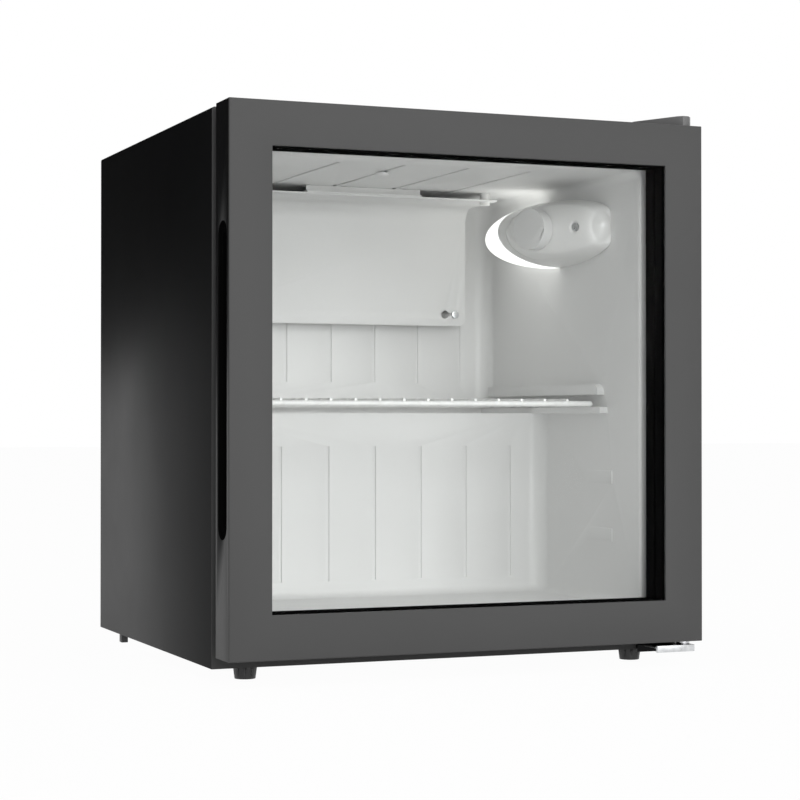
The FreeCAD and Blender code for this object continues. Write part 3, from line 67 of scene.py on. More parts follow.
def surface_grain():
    """Patchy tone, wandering roughness and fine relief, shared by moulded and sprayed finishes."""
    group = bpy.data.node_groups.new("surface_grain", "ShaderNodeTree")
    for name, kind, value in (("Colour", "NodeSocketColor", (0.5, 0.5, 0.5, 1)),
                              ("Patchiness", "NodeSocketFloat", 0.05),
                              ("Patch Scale", "NodeSocketFloat", 6.0),
                              ("Grain Scale", "NodeSocketFloat", 900.0),
                              ("Relief", "NodeSocketFloat", 0.1),
                              ("Roughness", "NodeSocketFloat", 0.4),
                              ("Roughness Spread", "NodeSocketFloat", 0.06)):
        group.interface.new_socket(name, in_out="INPUT", socket_type=kind).default_value = value
    for name, kind in (("Colour", "NodeSocketColor"), ("Roughness", "NodeSocketFloat"),
                       ("Normal", "NodeSocketVector")):
        group.interface.new_socket(name, in_out="OUTPUT", socket_type=kind)
    inside, outside = group.nodes.new("NodeGroupInput"), group.nodes.new("NodeGroupOutput")
    place = group.nodes.new("ShaderNodeTexCoord")
    patches = node_with(group, "ShaderNodeTexNoise", Detail=4.0, Roughness=0.6)
    grain = node_with(group, "ShaderNodeTexNoise", Detail=2.0)
    swing = node_with(group, "ShaderNodeMapRange", From_Min=0.3, From_Max=0.7, To_Min=-1.0, To_Max=1.0)
    tone = group.nodes.new("ShaderNodeMath")
    tone.operation = "MULTIPLY_ADD"
    tone.inputs[2].default_value = 1.0
    tinted = group.nodes.new("ShaderNodeVectorMath")
    tinted.operation = "SCALE"
    rough = group.nodes.new("ShaderNodeMath")
    rough.operation = "MULTIPLY_ADD"
    bump = node_with(group, "ShaderNodeBump", Distance=0.0002)
    link = group.links.new
    link(place.outputs["Object"], patches.inputs["Vector"])
    link(place.outputs["Object"], grain.inputs["Vector"])
    link(inside.outputs["Patch Scale"], patches.inputs["Scale"])
    link(inside.outputs["Grain Scale"], grain.inputs["Scale"])
    link(patches.outputs["Fac"], swing.inputs["Value"])
    link(swing.outputs["Result"], tone.inputs[0])
    link(inside.outputs["Patchiness"], tone.inputs[1])
    link(inside.outputs["Colour"], tinted.inputs[0])
    link(tone.outputs[0], tinted.inputs["Scale"])
    link(tinted.outputs[0], outside.inputs["Colour"])
    link(swing.outputs["Result"], rough.inputs[0])
    link(inside.outputs["Roughness Spread"], rough.inputs[1])
    link(inside.outputs["Roughness"], rough.inputs[2])
    link(rough.outputs[0], outside.inputs["Roughness"])
    link(inside.outputs["Relief"], bump.inputs["Strength"])
    link(grain.outputs["Fac"], bump.inputs["Height"])
    link(bump.outputs["Normal"], outside.inputs["Normal"])
    return group


GRAIN = surface_grain()


def finish_of(name, colour, roughness, patchiness=0.05, patch_scale=6.0, grain_scale=900.0, relief=0.1,
              spread=0.06, **sockets):
    """A material on the Principled shader, fed by the shared grain."""
    material = bpy.data.materials.new(name)
    material.use_nodes = True
    tree = material.node_tree
    shader = tree.nodes["Principled BSDF"]
    grain = tree.nodes.new("ShaderNodeGroup")
    grain.name = "grain"
    grain.node_tree = GRAIN
    for socket, value in (("Colour", colour), ("Patchiness", patchiness), ("Patch Scale", patch_scale),
                          ("Grain Scale", grain_scale), ("Relief", relief), ("Roughness", roughness),
                          ("Roughness Spread", spread)):
        grain.inputs[socket].default_value = value
    tree.links.new(grain.outputs["Colour"], shader.inputs["Base Color"])
    tree.links.new(grain.outputs["Roughness"], shader.inputs["Roughness"])
    tree.links.new(grain.outputs["Normal"], shader.inputs["Normal"])
    for socket, value in sockets.items():
        shader.inputs[socket.replace("_", " ")].default_value = value
    return material


def front_skin_by_depth(material, front, back, face=FRONT_REFLECTION_GREY):
    """Give a black material a paler front skin that ends between two depths; the default grey skin is a
    painted reflection of the front light.
    """
    tree = material.node_tree
    place = tree.nodes.new("ShaderNodeTexCoord")
    depth = tree.nodes.new("ShaderNodeSeparateXYZ")
    skin = tree.nodes.new("ShaderNodeMapRange")
    skin.inputs["From Min"].default_value = front
    skin.inputs["From Max"].default_value = back
    mixed = tree.nodes.new("ShaderNodeMix")
    mixed.data_type = "RGBA"
    mixed.inputs[6].default_value = face
    mixed.inputs[7].default_value = SATIN_BLACK
    tree.links.new(place.outputs["Object"], depth.inputs[0])
    tree.links.new(depth.outputs["Y"], skin.inputs["Value"])
    tree.links.new(skin.outputs["Result"], mixed.inputs[0])
    tree.links.new(mixed.outputs[2], tree.nodes["grain"].inputs["Colour"])
    return material


def settled(made, name, material, node=None, body=None):
    """Put a finished piece on its body, and let it stand for its CAD node."""
    made.name = made.data.name = name
    made.data.materials.clear()
    made.data.materials.append(material)
    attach(made, body or BODY_OF[node])
    if node:
        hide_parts(node)
    return made


def plain_mesh(made):
    """Turn an object's evaluated shape into a plain mesh and drop its modifiers."""
    bpy.context.view_layer.update()
    ready = made.evaluated_get(bpy.context.evaluated_depsgraph_get())
    mesh = bpy.data.meshes.new_from_object(ready)
    made.modifiers.clear()
    if made.type == "MESH":
        made.data = mesh
        return made
    name = made.name
    bpy.data.objects.remove(made)
    fresh = bpy.data.objects.new(name, mesh)
    bpy.context.scene.collection.objects.link(fresh)
    return fresh


def eased(node, name, material, edge=0.0004, rounds=2, crease=35, soft=None, soft_width=0.003):
    """A copy of a CAD part with its flat faces merged, its sharp edges broken and its curves smooth.

    Edges that pass the soft test get a wider rounding first.
    """
    bm = bmesh.new()
    bm.from_mesh(frame["nodes"][node].data)
    bmesh.ops.remove_doubles(bm, verts=bm.verts, dist=2e-6)
    bmesh.ops.dissolve_limit(bm, angle_limit=radians(0.3), verts=bm.verts, edges=bm.edges)
    if soft:
        chosen = [edge for edge in bm.edges if all(soft(vert.co) for vert in edge.verts)]
        bmesh.ops.bevel(bm, geom=chosen, offset=soft_width, segments=4, profile=0.5, affect="EDGES")
    mesh = bpy.data.meshes.new(name)
    bm.to_mesh(mesh)
    bm.free()
    if "custom_normal" in mesh.attributes:
        mesh.attributes.remove(mesh.attributes["custom_normal"])
    made = bpy.data.objects.new(name, mesh)
    bpy.context.scene.collection.objects.link(made)
    if edge:
        bevel = made.modifiers.new("edge", "BEVEL")
        bevel.width = edge
        bevel.segments = rounds
        bevel.limit_method = "ANGLE"
        bevel.angle_limit = radians(crease)
        plain_mesh(made)
    made.data.shade_smooth()
    made.data.set_sharp_from_angle(angle=radians(crease))
    return settled(made, name, material, node)


def sprayed_black(name):
    """The cabinet's satin black powder coat."""
    return finish_of(name, SATIN_BLACK, 0.34, patchiness=0.06, patch_scale=5.0, grain_scale=1500.0,
                     relief=0.05, spread=0.03, Specular_IOR_Level=0.035)


BLACK_PAINT = sprayed_black("satin_black_paint")
SHELL_PAINT_AND_REFLECTION = sprayed_black("shell_paint")
shell_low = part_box("outer_wrapper")[0]
# The grey on the shell's front flanges is a painted reflection of the front light on the black paint.
front_skin_by_depth(SHELL_PAINT_AND_REFLECTION, shell_low.y + 0.0004, shell_low.y + 0.0006)
eased("outer_wrapper", "folded_steel_shell", SHELL_PAINT_AND_REFLECTION, edge=0.0003)
eased("front_rail", "sill_rail", SHELL_PAINT_AND_REFLECTION, edge=0.0003)

# ---------------------------------------------------------------- floor pan and back panel
# The pan under the cabinet and the sheet that closes its back are the same painted steel.
# The back sheet is held to the shell by a row of pan-head screws along each side and the top.
ZINC = (0.62, 0.63, 0.64, 1)


def zinc_plated(name):
    """Bright zinc plate with a faint spangle."""
    return finish_of(name, ZINC, 0.33, patchiness=0.14, patch_scale=140.0, grain_scale=2200.0,
                     relief=0.08, spread=0.10, Metallic=0.9)


PLATED = zinc_plated("zinc_plate")
eased("floor_pan", "cabinet_floor_pan", BLACK_PAINT, edge=0.0002)
eased("back_panel", "cabinet_back_sheet", BLACK_PAINT, edge=0.0002)


def mesh_piece(name, bm):
    """An object in the scene from mesh code, with its doubles merged and its faces turned outwards."""
    bmesh.ops.remove_doubles(bm, verts=bm.verts, dist=1e-6)
    bmesh.ops.recalc_face_normals(bm, faces=bm.faces)
    mesh = bpy.data.meshes.new(name)
    bm.to_mesh(mesh)
    bm.free()
    made = bpy.data.objects.new(name, mesh)
    bpy.context.scene.collection.objects.link(made)
    return made


def turned(profile, steps=32):
    """A closed solid of revolution round Z; its (radius, height) pairs start and end on the axis."""
    bm = bmesh.new()
    rings = []
    for radius, height in profile:
        if radius < 1e-7:
            rings.append([bm.verts.new((0, 0, height))])
        else:
            turns = [2 * pi * i / steps for i in range(steps)]
            rings.append([bm.verts.new((radius * cos(turn), radius * sin(turn), height))
                          for turn in turns])
    for low, high in zip(rings, rings[1:]):
        for i in range(steps):
            corners = [low[i % len(low)], low[(i + 1) % len(low)],
                       high[(i + 1) % len(high)], high[i % len(high)]]
            distinct = list(dict.fromkeys(corners))
            if len(distinct) > 2:
                bm.faces.new(distinct)
    return bm


def crossed_head(radius, height):
    """A domed pan head with a cross recess sunk into it, standing on the XY plane."""
    bm = turned([(0, 0), (radius, 0), (radius, 0.35 * height), (0.93 * radius, 0.66 * height),
                 (0.72 * radius, 0.88 * height), (0.40 * radius, height), (0, height)], steps=24)
    made = mesh_piece("screw_pattern", bm)
    tools = []
    bar_size = Matrix.Diagonal((1.2 * radius, 0.24 * radius, 0.8 * height, 1))
    bar_lift = Matrix.Translation((0, 0, 0.85 * height))
    for turn in (0, pi / 2):
        bar = bmesh.new()
        bmesh.ops.create_cube(bar, size=1, matrix=Matrix.Rotation(turn, 4, "Z") @ bar_lift @ bar_size)
        tools.append(mesh_piece("screw_bar", bar))
    for tool in tools:
        sunk = made.modifiers.new("recess", "BOOLEAN")
        sunk.object = tool
        sunk.operation = "DIFFERENCE"
        sunk.solver = "EXACT"
    plain_mesh(made)
    for tool in tools:
        bpy.data.objects.remove(tool)
    made.data.set_sharp_from_angle(angle=radians(35))
    return made


def node_chain(name, *sockets):
    """A geometry tree with the given named inputs, its group input and output nodes."""
    tree = bpy.data.node_groups.new(name, "GeometryNodeTree")
    tree.interface.new_socket("Geometry", in_out="INPUT", socket_type="NodeSocketGeometry")
    for label, kind, value in sockets:
        socket = tree.interface.new_socket(label, in_out="INPUT", socket_type=kind)
        if value is not None:
            socket.default_value = value
    tree.interface.new_socket("Geometry", in_out="OUTPUT", socket_type="NodeSocketGeometry")
    return tree, tree.nodes.new("NodeGroupInput"), tree.nodes.new("NodeGroupOutput")


def close_chain(tree, start, material, outside):
    """End a tree with Realize Instances and Set Material."""
    real = tree.nodes.new("GeometryNodeRealizeInstances")
    painted = tree.nodes.new("GeometryNodeSetMaterial")
    tree.links.new(material, painted.inputs["Material"])
    tree.links.new(start, real.inputs[0])
    tree.links.new(real.outputs[0], painted.inputs[0])
    tree.links.new(painted.outputs[0], outside.inputs[0])


def run_chain(tree, name, **values):
    """Run a tree on an empty mesh and keep the result as a plain mesh."""
    made = bpy.data.objects.new(name, bpy.data.meshes.new(name))
    bpy.context.scene.collection.objects.link(made)
    modifier = made.modifiers.new("build", "NODES")
    modifier.node_group = tree
    named = {item.name: item.identifier for item in tree.interface.items_tree
             if item.item_type == "SOCKET" and item.in_out == "INPUT"}
    for label, value in values.items():
        modifier[named[label.replace("_", " ")]] = value
    return plain_mesh(made)


def straight_row():
    """Equal parts in a straight row, the first at Start and each next one a Step further."""
    tree, inside, outside = node_chain(
        "straight_row", ("Part", "NodeSocketObject", None), ("Material", "NodeSocketMaterial", None),
        ("Count", "NodeSocketInt", 4), ("Start", "NodeSocketVector", (0, 0, 0)),
        ("Step", "NodeSocketVector", (0, 0, 0.1)), ("Turn", "NodeSocketVector", (0, 0, 0)))
    line = tree.nodes.new("GeometryNodeMeshLine")
    shape = tree.nodes.new("GeometryNodeObjectInfo")
    spread = tree.nodes.new("GeometryNodeInstanceOnPoints")
    turn = tree.nodes.new("FunctionNodeEulerToRotation")
    for source, target in ((inside.outputs["Count"], line.inputs["Count"]),
                           (inside.outputs["Start"], line.inputs["Start Location"]),
                           (inside.outputs["Step"], line.inputs["Offset"]),
                           (inside.outputs["Part"], shape.inputs["Object"]),
                           (inside.outputs["Turn"], turn.inputs[0]),
                           (line.outputs["Mesh"], spread.inputs["Points"]),
                           (shape.outputs["Geometry"], spread.inputs["Instance"]),
                           (turn.outputs[0], spread.inputs["Rotation"])):
        tree.links.new(source, target)
    close_chain(tree, spread.outputs["Instances"], inside.outputs["Material"], outside)
    return tree


STRAIGHT_ROW = straight_row()
SCREW_RADIUS = 0.0034
SCREW_HEIGHT = 0.0018
SCREW = crossed_head(SCREW_RADIUS, SCREW_HEIGHT)


def row_of(part, name, material, count, start, step, turn=(0, 0, 0)):
    """A straight row of one part as a plain mesh that rides on the cabinet."""
    made = run_chain(STRAIGHT_ROW, name, Part=part, Material=material, Count=count, Start=start,
                     Step=step, Turn=turn)
    made.data.set_sharp_from_angle(angle=radians(35))
    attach(made, "cabinet")
    return made


back_low, back_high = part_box("back_panel")
rear_y = back_high.y - 0.0001
row_of(SCREW, "back_screws_top", PLATED, 4, (-0.165, rear_y, back_high.z - 0.009),
       (0.11, 0, 0), (-pi / 2, 0, 0))
for side, x in (("left", back_low.x + 0.008), ("right", back_high.x - 0.008)):
    row_of(SCREW, f"back_screws_{side}", PLATED, 3, (x, rear_y, back_low.z + 0.04),
           (0, 0, 0.1), (-pi / 2, 0, 0))
bpy.data.objects.remove(SCREW)

# ---------------------------------------------------------------- compressor housing
# The bent sheet over the compressor and the tray under it are bare galvanised steel. The
# space between the shell and the liner is filled with foam that sets in place.
GALVANISED = finish_of("galvanised_sheet", (0.50, 0.51, 0.52, 1), 0.42, patchiness=0.22,
                       patch_scale=75.0, grain_scale=1800.0, relief=0.05, spread=0.12, Metallic=0.85)
eased("bay_panel", "compressor_bay_sheet", GALVANISED, edge=0.0003)
eased("compressor_tray", "compressor_base_tray", GALVANISED, edge=0.0003)
FOAM = finish_of("foam_core", (0.72, 0.62, 0.36, 1), 0.85, patchiness=0.12, patch_scale=30.0,
                 grain_scale=700.0, relief=0.4)
frame["nodes"]["foam_insulation"].material_slots[0].material = FOAM

# ---------------------------------------------------------------- white inner liner
# One vacuum-formed sheet of white plastic, with soft corners, ledges for the shelf and a
# step at the back over the compressor. Shallow grooves run along its ceiling and back walls.
LINER_WHITE = finish_of("liner_plastic", (0.80, 0.80, 0.795, 1), 0.42, patchiness=0.015, patch_scale=9.0,
                        grain_scale=1100.0, relief=0.04, spread=0.04, Specular_IOR_Level=0.4)
liner_low, liner_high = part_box("inner_liner")
flange_y = shell_low.y + 0.001


def at_mouth(point):
    """True on the rim where the compartment opens through the liner's front flange."""
    inside = abs(point.x) < liner_high.x - 0.01 and liner_low.z + 0.008 < point.z < liner_high.z - 0.008
    return inside and abs(point.y - flange_y) < 0.0001


eased("inner_liner", "formed_liner", LINER_WHITE, edge=0.0005, crease=30, soft=at_mouth)
eased("drain_tube", "melt_water_drain", LINER_WHITE, edge=0.0002)
plug_low, plug_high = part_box("ceiling_plug")
PLUG_PROFILE = [(0, 0), (0.0030, 0), (0.0052, 0.0007), (0.0060, 0.0019), (0.0060, 0.0030),
                (0.0020, 0.0030), (0.0020, 0.0045), (0, 0.0045)]
plug = mesh_piece("ceiling_grommet", turned(PLUG_PROFILE, steps=40))
plug_middle = (plug_low + plug_high) / 2
plug.data.transform(Matrix.Translation((plug_middle.x, plug_middle.y, plug_low.z)))
plug.data.shade_smooth()
plug.data.set_sharp_from_angle(angle=radians(50))
settled(plug, "ceiling_grommet", LINER_WHITE, "ceiling_plug")

# ---------------------------------------------------------------- evaporator plate
# A roll-bonded aluminium plate with a pale epoxy coat. It stands off the back wall on two
# posts and bends forward under the ceiling, where a strip and two clips hold it.
PLATE_COAT = finish_of("evaporator_coat", (0.79, 0.79, 0.785, 1), 0.5, patchiness=0.03, patch_scale=14.0,
                       grain_scale=1500.0, relief=0.08, spread=0.08, Metallic=0.0)
eased("evaporator_plate", "evaporator_sheet", PLATE_COAT, edge=0.0005, crease=30)
WHITE_PLASTIC = finish_of("white_plastic", (0.80, 0.80, 0.79, 1), 0.38, patchiness=0.02,
                          grain_scale=1200.0, relief=0.04)
for node, name in (("evaporator_spacers", "evaporator_posts"),
                   ("evaporator_clips", "evaporator_ceiling_clips"),
                   ("evaporator_hanger", "evaporator_strip")):
    eased(node, name, WHITE_PLASTIC, edge=0.0004)
eased("evaporator_screws", "evaporator_post_screws", PLATED, edge=0.0003)

# ---------------------------------------------------------------- lamp and thermostat
# An egg-shaped housing on the hinge-side wall: a white moulded cover, an opal lens that wraps
# its rear end, the board with five diodes inside, and the thermostat's knob on the flat face.
COVER_WHITE = finish_of("cover_plastic", (0.90, 0.90, 0.89, 1), 0.30, patchiness=0.012,
                        grain_scale=1400.0, relief=0.03, spread=0.03, Coat_Weight=0.25,
                        Coat_Roughness=0.2)
NOSE_REACH = 0.020
NOSE_SINK = 0.008
COVER_CELL = 0.0009
SOFT_PASSES = 8


def softly_moulded(made):
    """Round a shell's blunt front end and soften all its edges, as in a deep moulding."""
    remesh = made.modifiers.new("cells", "REMESH")
    remesh.mode = "VOXEL"
    remesh.voxel_size = COVER_CELL
    plain_mesh(made)
    bm = bmesh.new()
    bm.from_mesh(made.data)
    tip_y = min(vert.co.y for vert in bm.verts)
    tip = [vert.co.copy() for vert in bm.verts if vert.co.y < tip_y + 0.0004]
    low_x, high_x = min(co.x for co in tip), max(co.x for co in tip)
    low_z, high_z = min(co.z for co in tip), max(co.z for co in tip)
    for vert in bm.verts:
        nearness = max(0, 1 - (vert.co.y - tip_y) / NOSE_REACH)
        across = (2 * vert.co.x - low_x - high_x) / (high_x - low_x)
        upward = (2 * vert.co.z - low_z - high_z) / (high_z - low_z)
        vert.co.y += NOSE_SINK * nearness ** 2 * min(across ** 2 + upward ** 2, 1)
    for _ in range(SOFT_PASSES):
        bmesh.ops.smooth_vert(bm, verts=bm.verts, factor=0.5, use_axis_x=True, use_axis_y=True,
                              use_axis_z=True)
    bm.to_mesh(made.data)
    bm.free()
    made.data.shade_smooth()


softly_moulded(eased("lamp_cover", "lamp_housing_cover", COVER_WHITE, edge=0, crease=28))
lamp_base = eased("lamp_base", "lamp_wall_base", COVER_WHITE, edge=0.0003)
base_tip = min(vert.co.y for vert in lamp_base.data.vertices)
for vert in lamp_base.data.vertices:
    vert.co.y += NOSE_SINK * max(0, 1 - (vert.co.y - base_tip) / NOSE_REACH) ** 2
lens_low, lens_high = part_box("lamp_lens")
LENS_GLOW = 1.1
GLOW_SLANT = 0.387
GLOW_BACK = 0.080


def glowing_behind(material, centre_y, centre_z):
    """Light only the part of the lens behind a plane that leans forward under the housing."""
    tree = material.node_tree
    place = tree.nodes.new("ShaderNodeTexCoord")
    split = tree.nodes.new("ShaderNodeSeparateXYZ")
    lean = tree.nodes.new("ShaderNodeMath")
    lean.operation = "MULTIPLY_ADD"
    lean.inputs[1].default_value = -GLOW_SLANT
    lean.inputs[2].default_value = GLOW_SLANT * centre_z - centre_y
    past = tree.nodes.new("ShaderNodeMath")
    past.operation = "ADD"
    glow = node_with(tree, "ShaderNodeMapRange", From_Min=-0.0008, From_Max=0.0008, To_Max=LENS_GLOW)
    tint = tree.nodes.new("ShaderNodeVectorMath")
    tint.operation = "SCALE"
    tint.inputs[0].default_value = (1, 0.99, 0.97)
    tree.links.new(place.outputs["Object"], split.inputs[0])
    tree.links.new(split.outputs["Z"], lean.inputs[0])
    tree.links.new(split.outputs["Y"], past.inputs[0])
    tree.links.new(lean.outputs[0], past.inputs[1])
    tree.links.new(past.outputs[0], glow.inputs["Value"])
    tree.links.new(glow.outputs["Result"], tint.inputs["Scale"])
    tree.links.new(tint.outputs[0], tree.nodes["Principled BSDF"].inputs["Emission Color"])
    tree.nodes["Principled BSDF"].inputs["Emission Strength"].default_value = 1.0


OPAL = finish_of("opal_lens", (0.84, 0.84, 0.83, 1), 0.30, patchiness=0.01, grain_scale=1400.0,
                 relief=0.03)
glowing_behind(OPAL, lens_low.y + GLOW_BACK, (lens_low.z + lens_high.z) / 2)
eased("lamp_lens", "opal_lamp_lens", OPAL, edge=0.0004, crease=28)
BOARD = finish_of("circuit_board", (0.02, 0.16, 0.05, 1), 0.35, patchiness=0.3, patch_scale=220.0,
                  grain_scale=900.0, relief=0.2)
frame["nodes"]["led_board"].material_slots[0].material = BOARD
GREY_PLASTIC = finish_of("knob_grey", (0.74, 0.74, 0.735, 1), 0.42, patchiness=0.02,
                         grain_scale=1300.0, relief=0.05)
eased("thermostat_body", "thermostat_switch", GREY_PLASTIC, edge=0.0004)
eased("thermostat_knob", "thermostat_dial", GREY_PLASTIC, edge=0.0009, rounds=3, crease=40)
eased("cover_screw", "lamp_cover_screw", PLATED, edge=0.0003)
WIRE_WHITE = finish_of("white_dipped_wire", (0.93, 0.93, 0.92, 1), 0.28, patchiness=0.02,
                       patch_scale=60.0, grain_scale=700.0, relief=0.08, Coat_Weight=0.3)
knob_joint = next(joint for joint in frame["record"]["behaviour"]["joints"]
                  if joint["name"] == "knob_turn")
knob_axis = Vector(knob_joint["axis"])
knob_side = Vector((knob_axis.y, -knob_axis.x, 0))
KNOB_HEIGHT = 0.013
KNOB_RADIUS = 0.0195
POINTER_SIZE = (0.0011, 0.0046, 0.0016)
POINTER_INSET = 0.0034
POINTER_EDGE = 0.0004
pointer_bm = bmesh.new()
bmesh.ops.create_cube(pointer_bm, size=1, matrix=Matrix.Diagonal((*POINTER_SIZE, 1)))
bmesh.ops.bevel(pointer_bm, geom=list(pointer_bm.edges), offset=POINTER_EDGE, segments=3,
                profile=0.5, affect="EDGES")
pointer = mesh_piece("dial_pointer", pointer_bm)
knob_face = Vector(knob_joint["pos_m"]) - KNOB_HEIGHT * knob_axis
pointer_place = knob_face + (KNOB_RADIUS - POINTER_INSET) * knob_side
pointer_turn = knob_axis.to_2d().angle_signed(Vector((1, 0)))
pointer.data.transform(Matrix.Translation(pointer_place) @ Matrix.Rotation(pointer_turn, 4, "Z"))
pointer.data.shade_smooth()
settled(pointer, "dial_pointer", WIRE_WHITE, body="knob")

# ---------------------------------------------------------------- wire shelf
# A hoop of round steel wire with a cross wire and lighter wires welded over it from front
# to back, all dipped in white plastic. It lies loose on the liner's ledges.
eased("wire_shelf", "dipped_wire_shelf", WIRE_WHITE, edge=0, crease=40)

# ---------------------------------------------------------------- compressor and its lines
# A welded steel pot in black enamel on rubber feet, with a terminal cover on its side and
# a tray on top that boils off the melt water. Copper pipes join it to the condenser.
ENAMEL = finish_of("black_enamel", (0.012, 0.012, 0.013, 1), 0.22, patchiness=0.1, patch_scale=20.0,
                   grain_scale=260.0, relief=0.25, Coat_Weight=0.4)
COPPER = finish_of("drawn_copper", (0.72, 0.33, 0.18, 1), 0.28, patchiness=0.25, patch_scale=45.0,
                   grain_scale=1500.0, relief=0.05, spread=0.12, Metallic=1.0)
RUBBER = finish_of("black_rubber", (0.012, 0.012, 0.012, 1), 0.75, patchiness=0.1,
                   grain_scale=1600.0, relief=0.2)
BLACK_PLASTIC = finish_of("black_plastic", (0.014, 0.014, 0.0145, 1), 0.42, patchiness=0.06,
                          grain_scale=1300.0, relief=0.12)
eased("compressor", "compressor_pot", ENAMEL, edge=0.003, rounds=4, crease=25)
eased("compressor_grommets", "compressor_rubber_feet", RUBBER, edge=0.001)
eased("compressor_bolts", "compressor_studs", PLATED, edge=0.0004)
eased("terminal_cover", "compressor_terminal_cover", BLACK_PLASTIC, edge=0.0012, rounds=3)
eased("drip_tray", "melt_water_tray", WHITE_PLASTIC, edge=0.0007)
eased("cord_gland", "mains_lead_gland", RUBBER, edge=0.0006)
for node, name, edge in (("discharge_tube", "discharge_pipe", 0), ("suction_tube", "suction_pipe", 0),
                         ("liquid_tube", "liquid_pipe", 0), ("capillary_tube", "capillary_pipe", 0),
                         ("filter_drier", "filter_drier_can", 0.0008)):
    eased(node, name, COPPER, edge=edge, crease=40)

# ---------------------------------------------------------------- condenser
# A serpentine of steel pipe with stiff wires spot-welded across both faces, dipped in black
# and clipped to the cabinet's back.
eased("condenser", "wire_condenser", ENAMEL, edge=0, crease=40)
eased("condenser_clips", "condenser_standoffs", BLACK_PLASTIC, edge=0.0005)
grid_low, grid_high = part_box("condenser")
WIRE_RADIUS = 0.0009
WIRE_PITCH = 0.0075
WIRE_MARGIN = 0.03
WIRE_DROP = 0.001
wire_count = int((grid_high.x - grid_low.x - WIRE_MARGIN) / WIRE_PITCH)
wire_length = grid_high.z - grid_low.z - WIRE_MARGIN
first_x = -WIRE_PITCH * (wire_count - 1) / 2
foot_z = grid_high.z - wire_length - WIRE_DROP
wire_profile = [(0, 0), (WIRE_RADIUS, 0), (WIRE_RADIUS, wire_length), (0, wire_length)]
wire = mesh_piece("wire_pattern", turned(wire_profile, steps=8))
for face, y in (("outer", grid_high.y - WIRE_RADIUS), ("inner", grid_low.y + WIRE_RADIUS)):
    row_of(wire, f"condenser_wires_{face}", ENAMEL, wire_count,
           (first_x, y, foot_z), (WIRE_PITCH, 0, 0))
bpy.data.objects.remove(wire)

# ---------------------------------------------------------------- glazed door
# A deep moulded frame with black sides, and a painted grey reflection of the front light on its face,
# holds two panes on a spacer bar.
# The handle is a black cup sunk into the free edge, and a magnetic gasket rings the back.
door_low, door_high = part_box("door_frame")
DOOR_PAINT_AND_REFLECTION = finish_of("door_finish", SATIN_BLACK, 0.36, patchiness=0.03, patch_scale=5.0,
                       grain_scale=1500.0, relief=0.04, spread=0.02, Specular_IOR_Level=0.08)
# The door's grey face is a painted reflection of the front light on its black paint.
front_skin_by_depth(DOOR_PAINT_AND_REFLECTION, door_low.y + 0.0003, door_low.y + 0.0030)


def at_door_rim(point):
    """True on the outer edges of the door's face."""
    outer = min(point.x - door_low.x, door_high.x - point.x, point.z - door_low.z, door_high.z - point.z)
    return point.y < door_low.y + 0.0002 and outer < 0.0002


eased("door_frame", "moulded_door_frame", DOOR_PAINT_AND_REFLECTION, edge=0.0005, crease=40, soft=at_door_rim,
      soft_width=0.0016)
INK_BLACK = finish_of("glazing_black", (0.004, 0.004, 0.004, 1), 0.5, patchiness=0.05,
                      grain_scale=1500.0, relief=0.03, Specular_IOR_Level=0.0)
eased("inner_frame", "glazing_inner_frame", INK_BLACK, edge=0.0004)
eased("glass_spacer", "pane_spacer_bar", INK_BLACK, edge=0.0003)
eased("handle_cup", "handle_cup_liner", INK_BLACK, edge=0.0003)


def glazing():
    """Clear float glass that lets lamp light through without caustics."""
    material = bpy.data.materials.new("float_glass")
    material.use_nodes = True
    tree = material.node_tree
    shader = tree.nodes["Principled BSDF"]
    grain = tree.nodes.new("ShaderNodeGroup")
    grain.node_tree = GRAIN
    for socket, value in (("Colour", (0.985, 0.995, 0.99, 1)), ("Patchiness", 0.004),
                          ("Patch Scale", 3.0), ("Grain Scale", 20.0), ("Relief", 0.0),
                          ("Roughness", 0.0), ("Roughness Spread", 0.0)):
        grain.inputs[socket].default_value = value
    tree.links.new(grain.outputs["Colour"], shader.inputs["Base Color"])
    shader.inputs["Roughness"].default_value = 0.0
    shader.inputs["Transmission Weight"].default_value = 1.0
    shader.inputs["IOR"].default_value = 1.05
    path = tree.nodes.new("ShaderNodeLightPath")
    clear = tree.nodes.new("ShaderNodeBsdfTransparent")
    either = tree.nodes.new("ShaderNodeMath")
    either.operation = "MAXIMUM"
    mixed = tree.nodes.new("ShaderNodeMixShader")
    tree.links.new(path.outputs["Is Shadow Ray"], either.inputs[0])
    tree.links.new(path.outputs["Is Diffuse Ray"], either.inputs[1])
    tree.links.new(either.outputs[0], mixed.inputs[0])
    tree.links.new(shader.outputs[0], mixed.inputs[1])
    tree.links.new(clear.outputs[0], mixed.inputs[2])
    tree.links.new(mixed.outputs[0], tree.nodes["Material Output"].inputs["Surface"])
    return material


FLOAT_GLASS = glazing()
for pane in ("front_glass", "rear_glass"):
    frame["nodes"][pane].material_slots[0].material = FLOAT_GLASS
gasket_low, gasket_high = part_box("door_gasket")
GASKET_WIDTH = 0.015
# across the strip from its outer edge, then from the door towards the cabinet, both from 0 to 1
GASKET_SECTION = [(0.10, 0), (0.90, 0), (0.90, 0.12), (0.74, 0.21), (0.92, 0.34), (0.76, 0.48),
                  (1, 0.60), (1, 0.94), (0.92, 1), (0.08, 1), (0, 0.94), (0, 0.60),
                  (0.24, 0.48), (0.08, 0.34), (0.26, 0.21), (0.10, 0.12)]


def mitred_ring(section, low, high, width):
    """Sweep a section round an upright rectangle, with mitred corners."""
    bm = bmesh.new()
    rings = []
    for across, along in section:
        inset = across * width
        y = low.y + along * (high.y - low.y)
        rings.append([bm.verts.new(corner) for corner in (
            (low.x + inset, y, low.z + inset), (high.x - inset, y, low.z + inset),
            (high.x - inset, y, high.z - inset), (low.x + inset, y, high.z - inset))])
    for ring, after in zip(rings, rings[1:] + rings[:1]):
        for i in range(4):
            bm.faces.new((ring[i], ring[(i + 1) % 4], after[(i + 1) % 4], after[i]))
    return bm


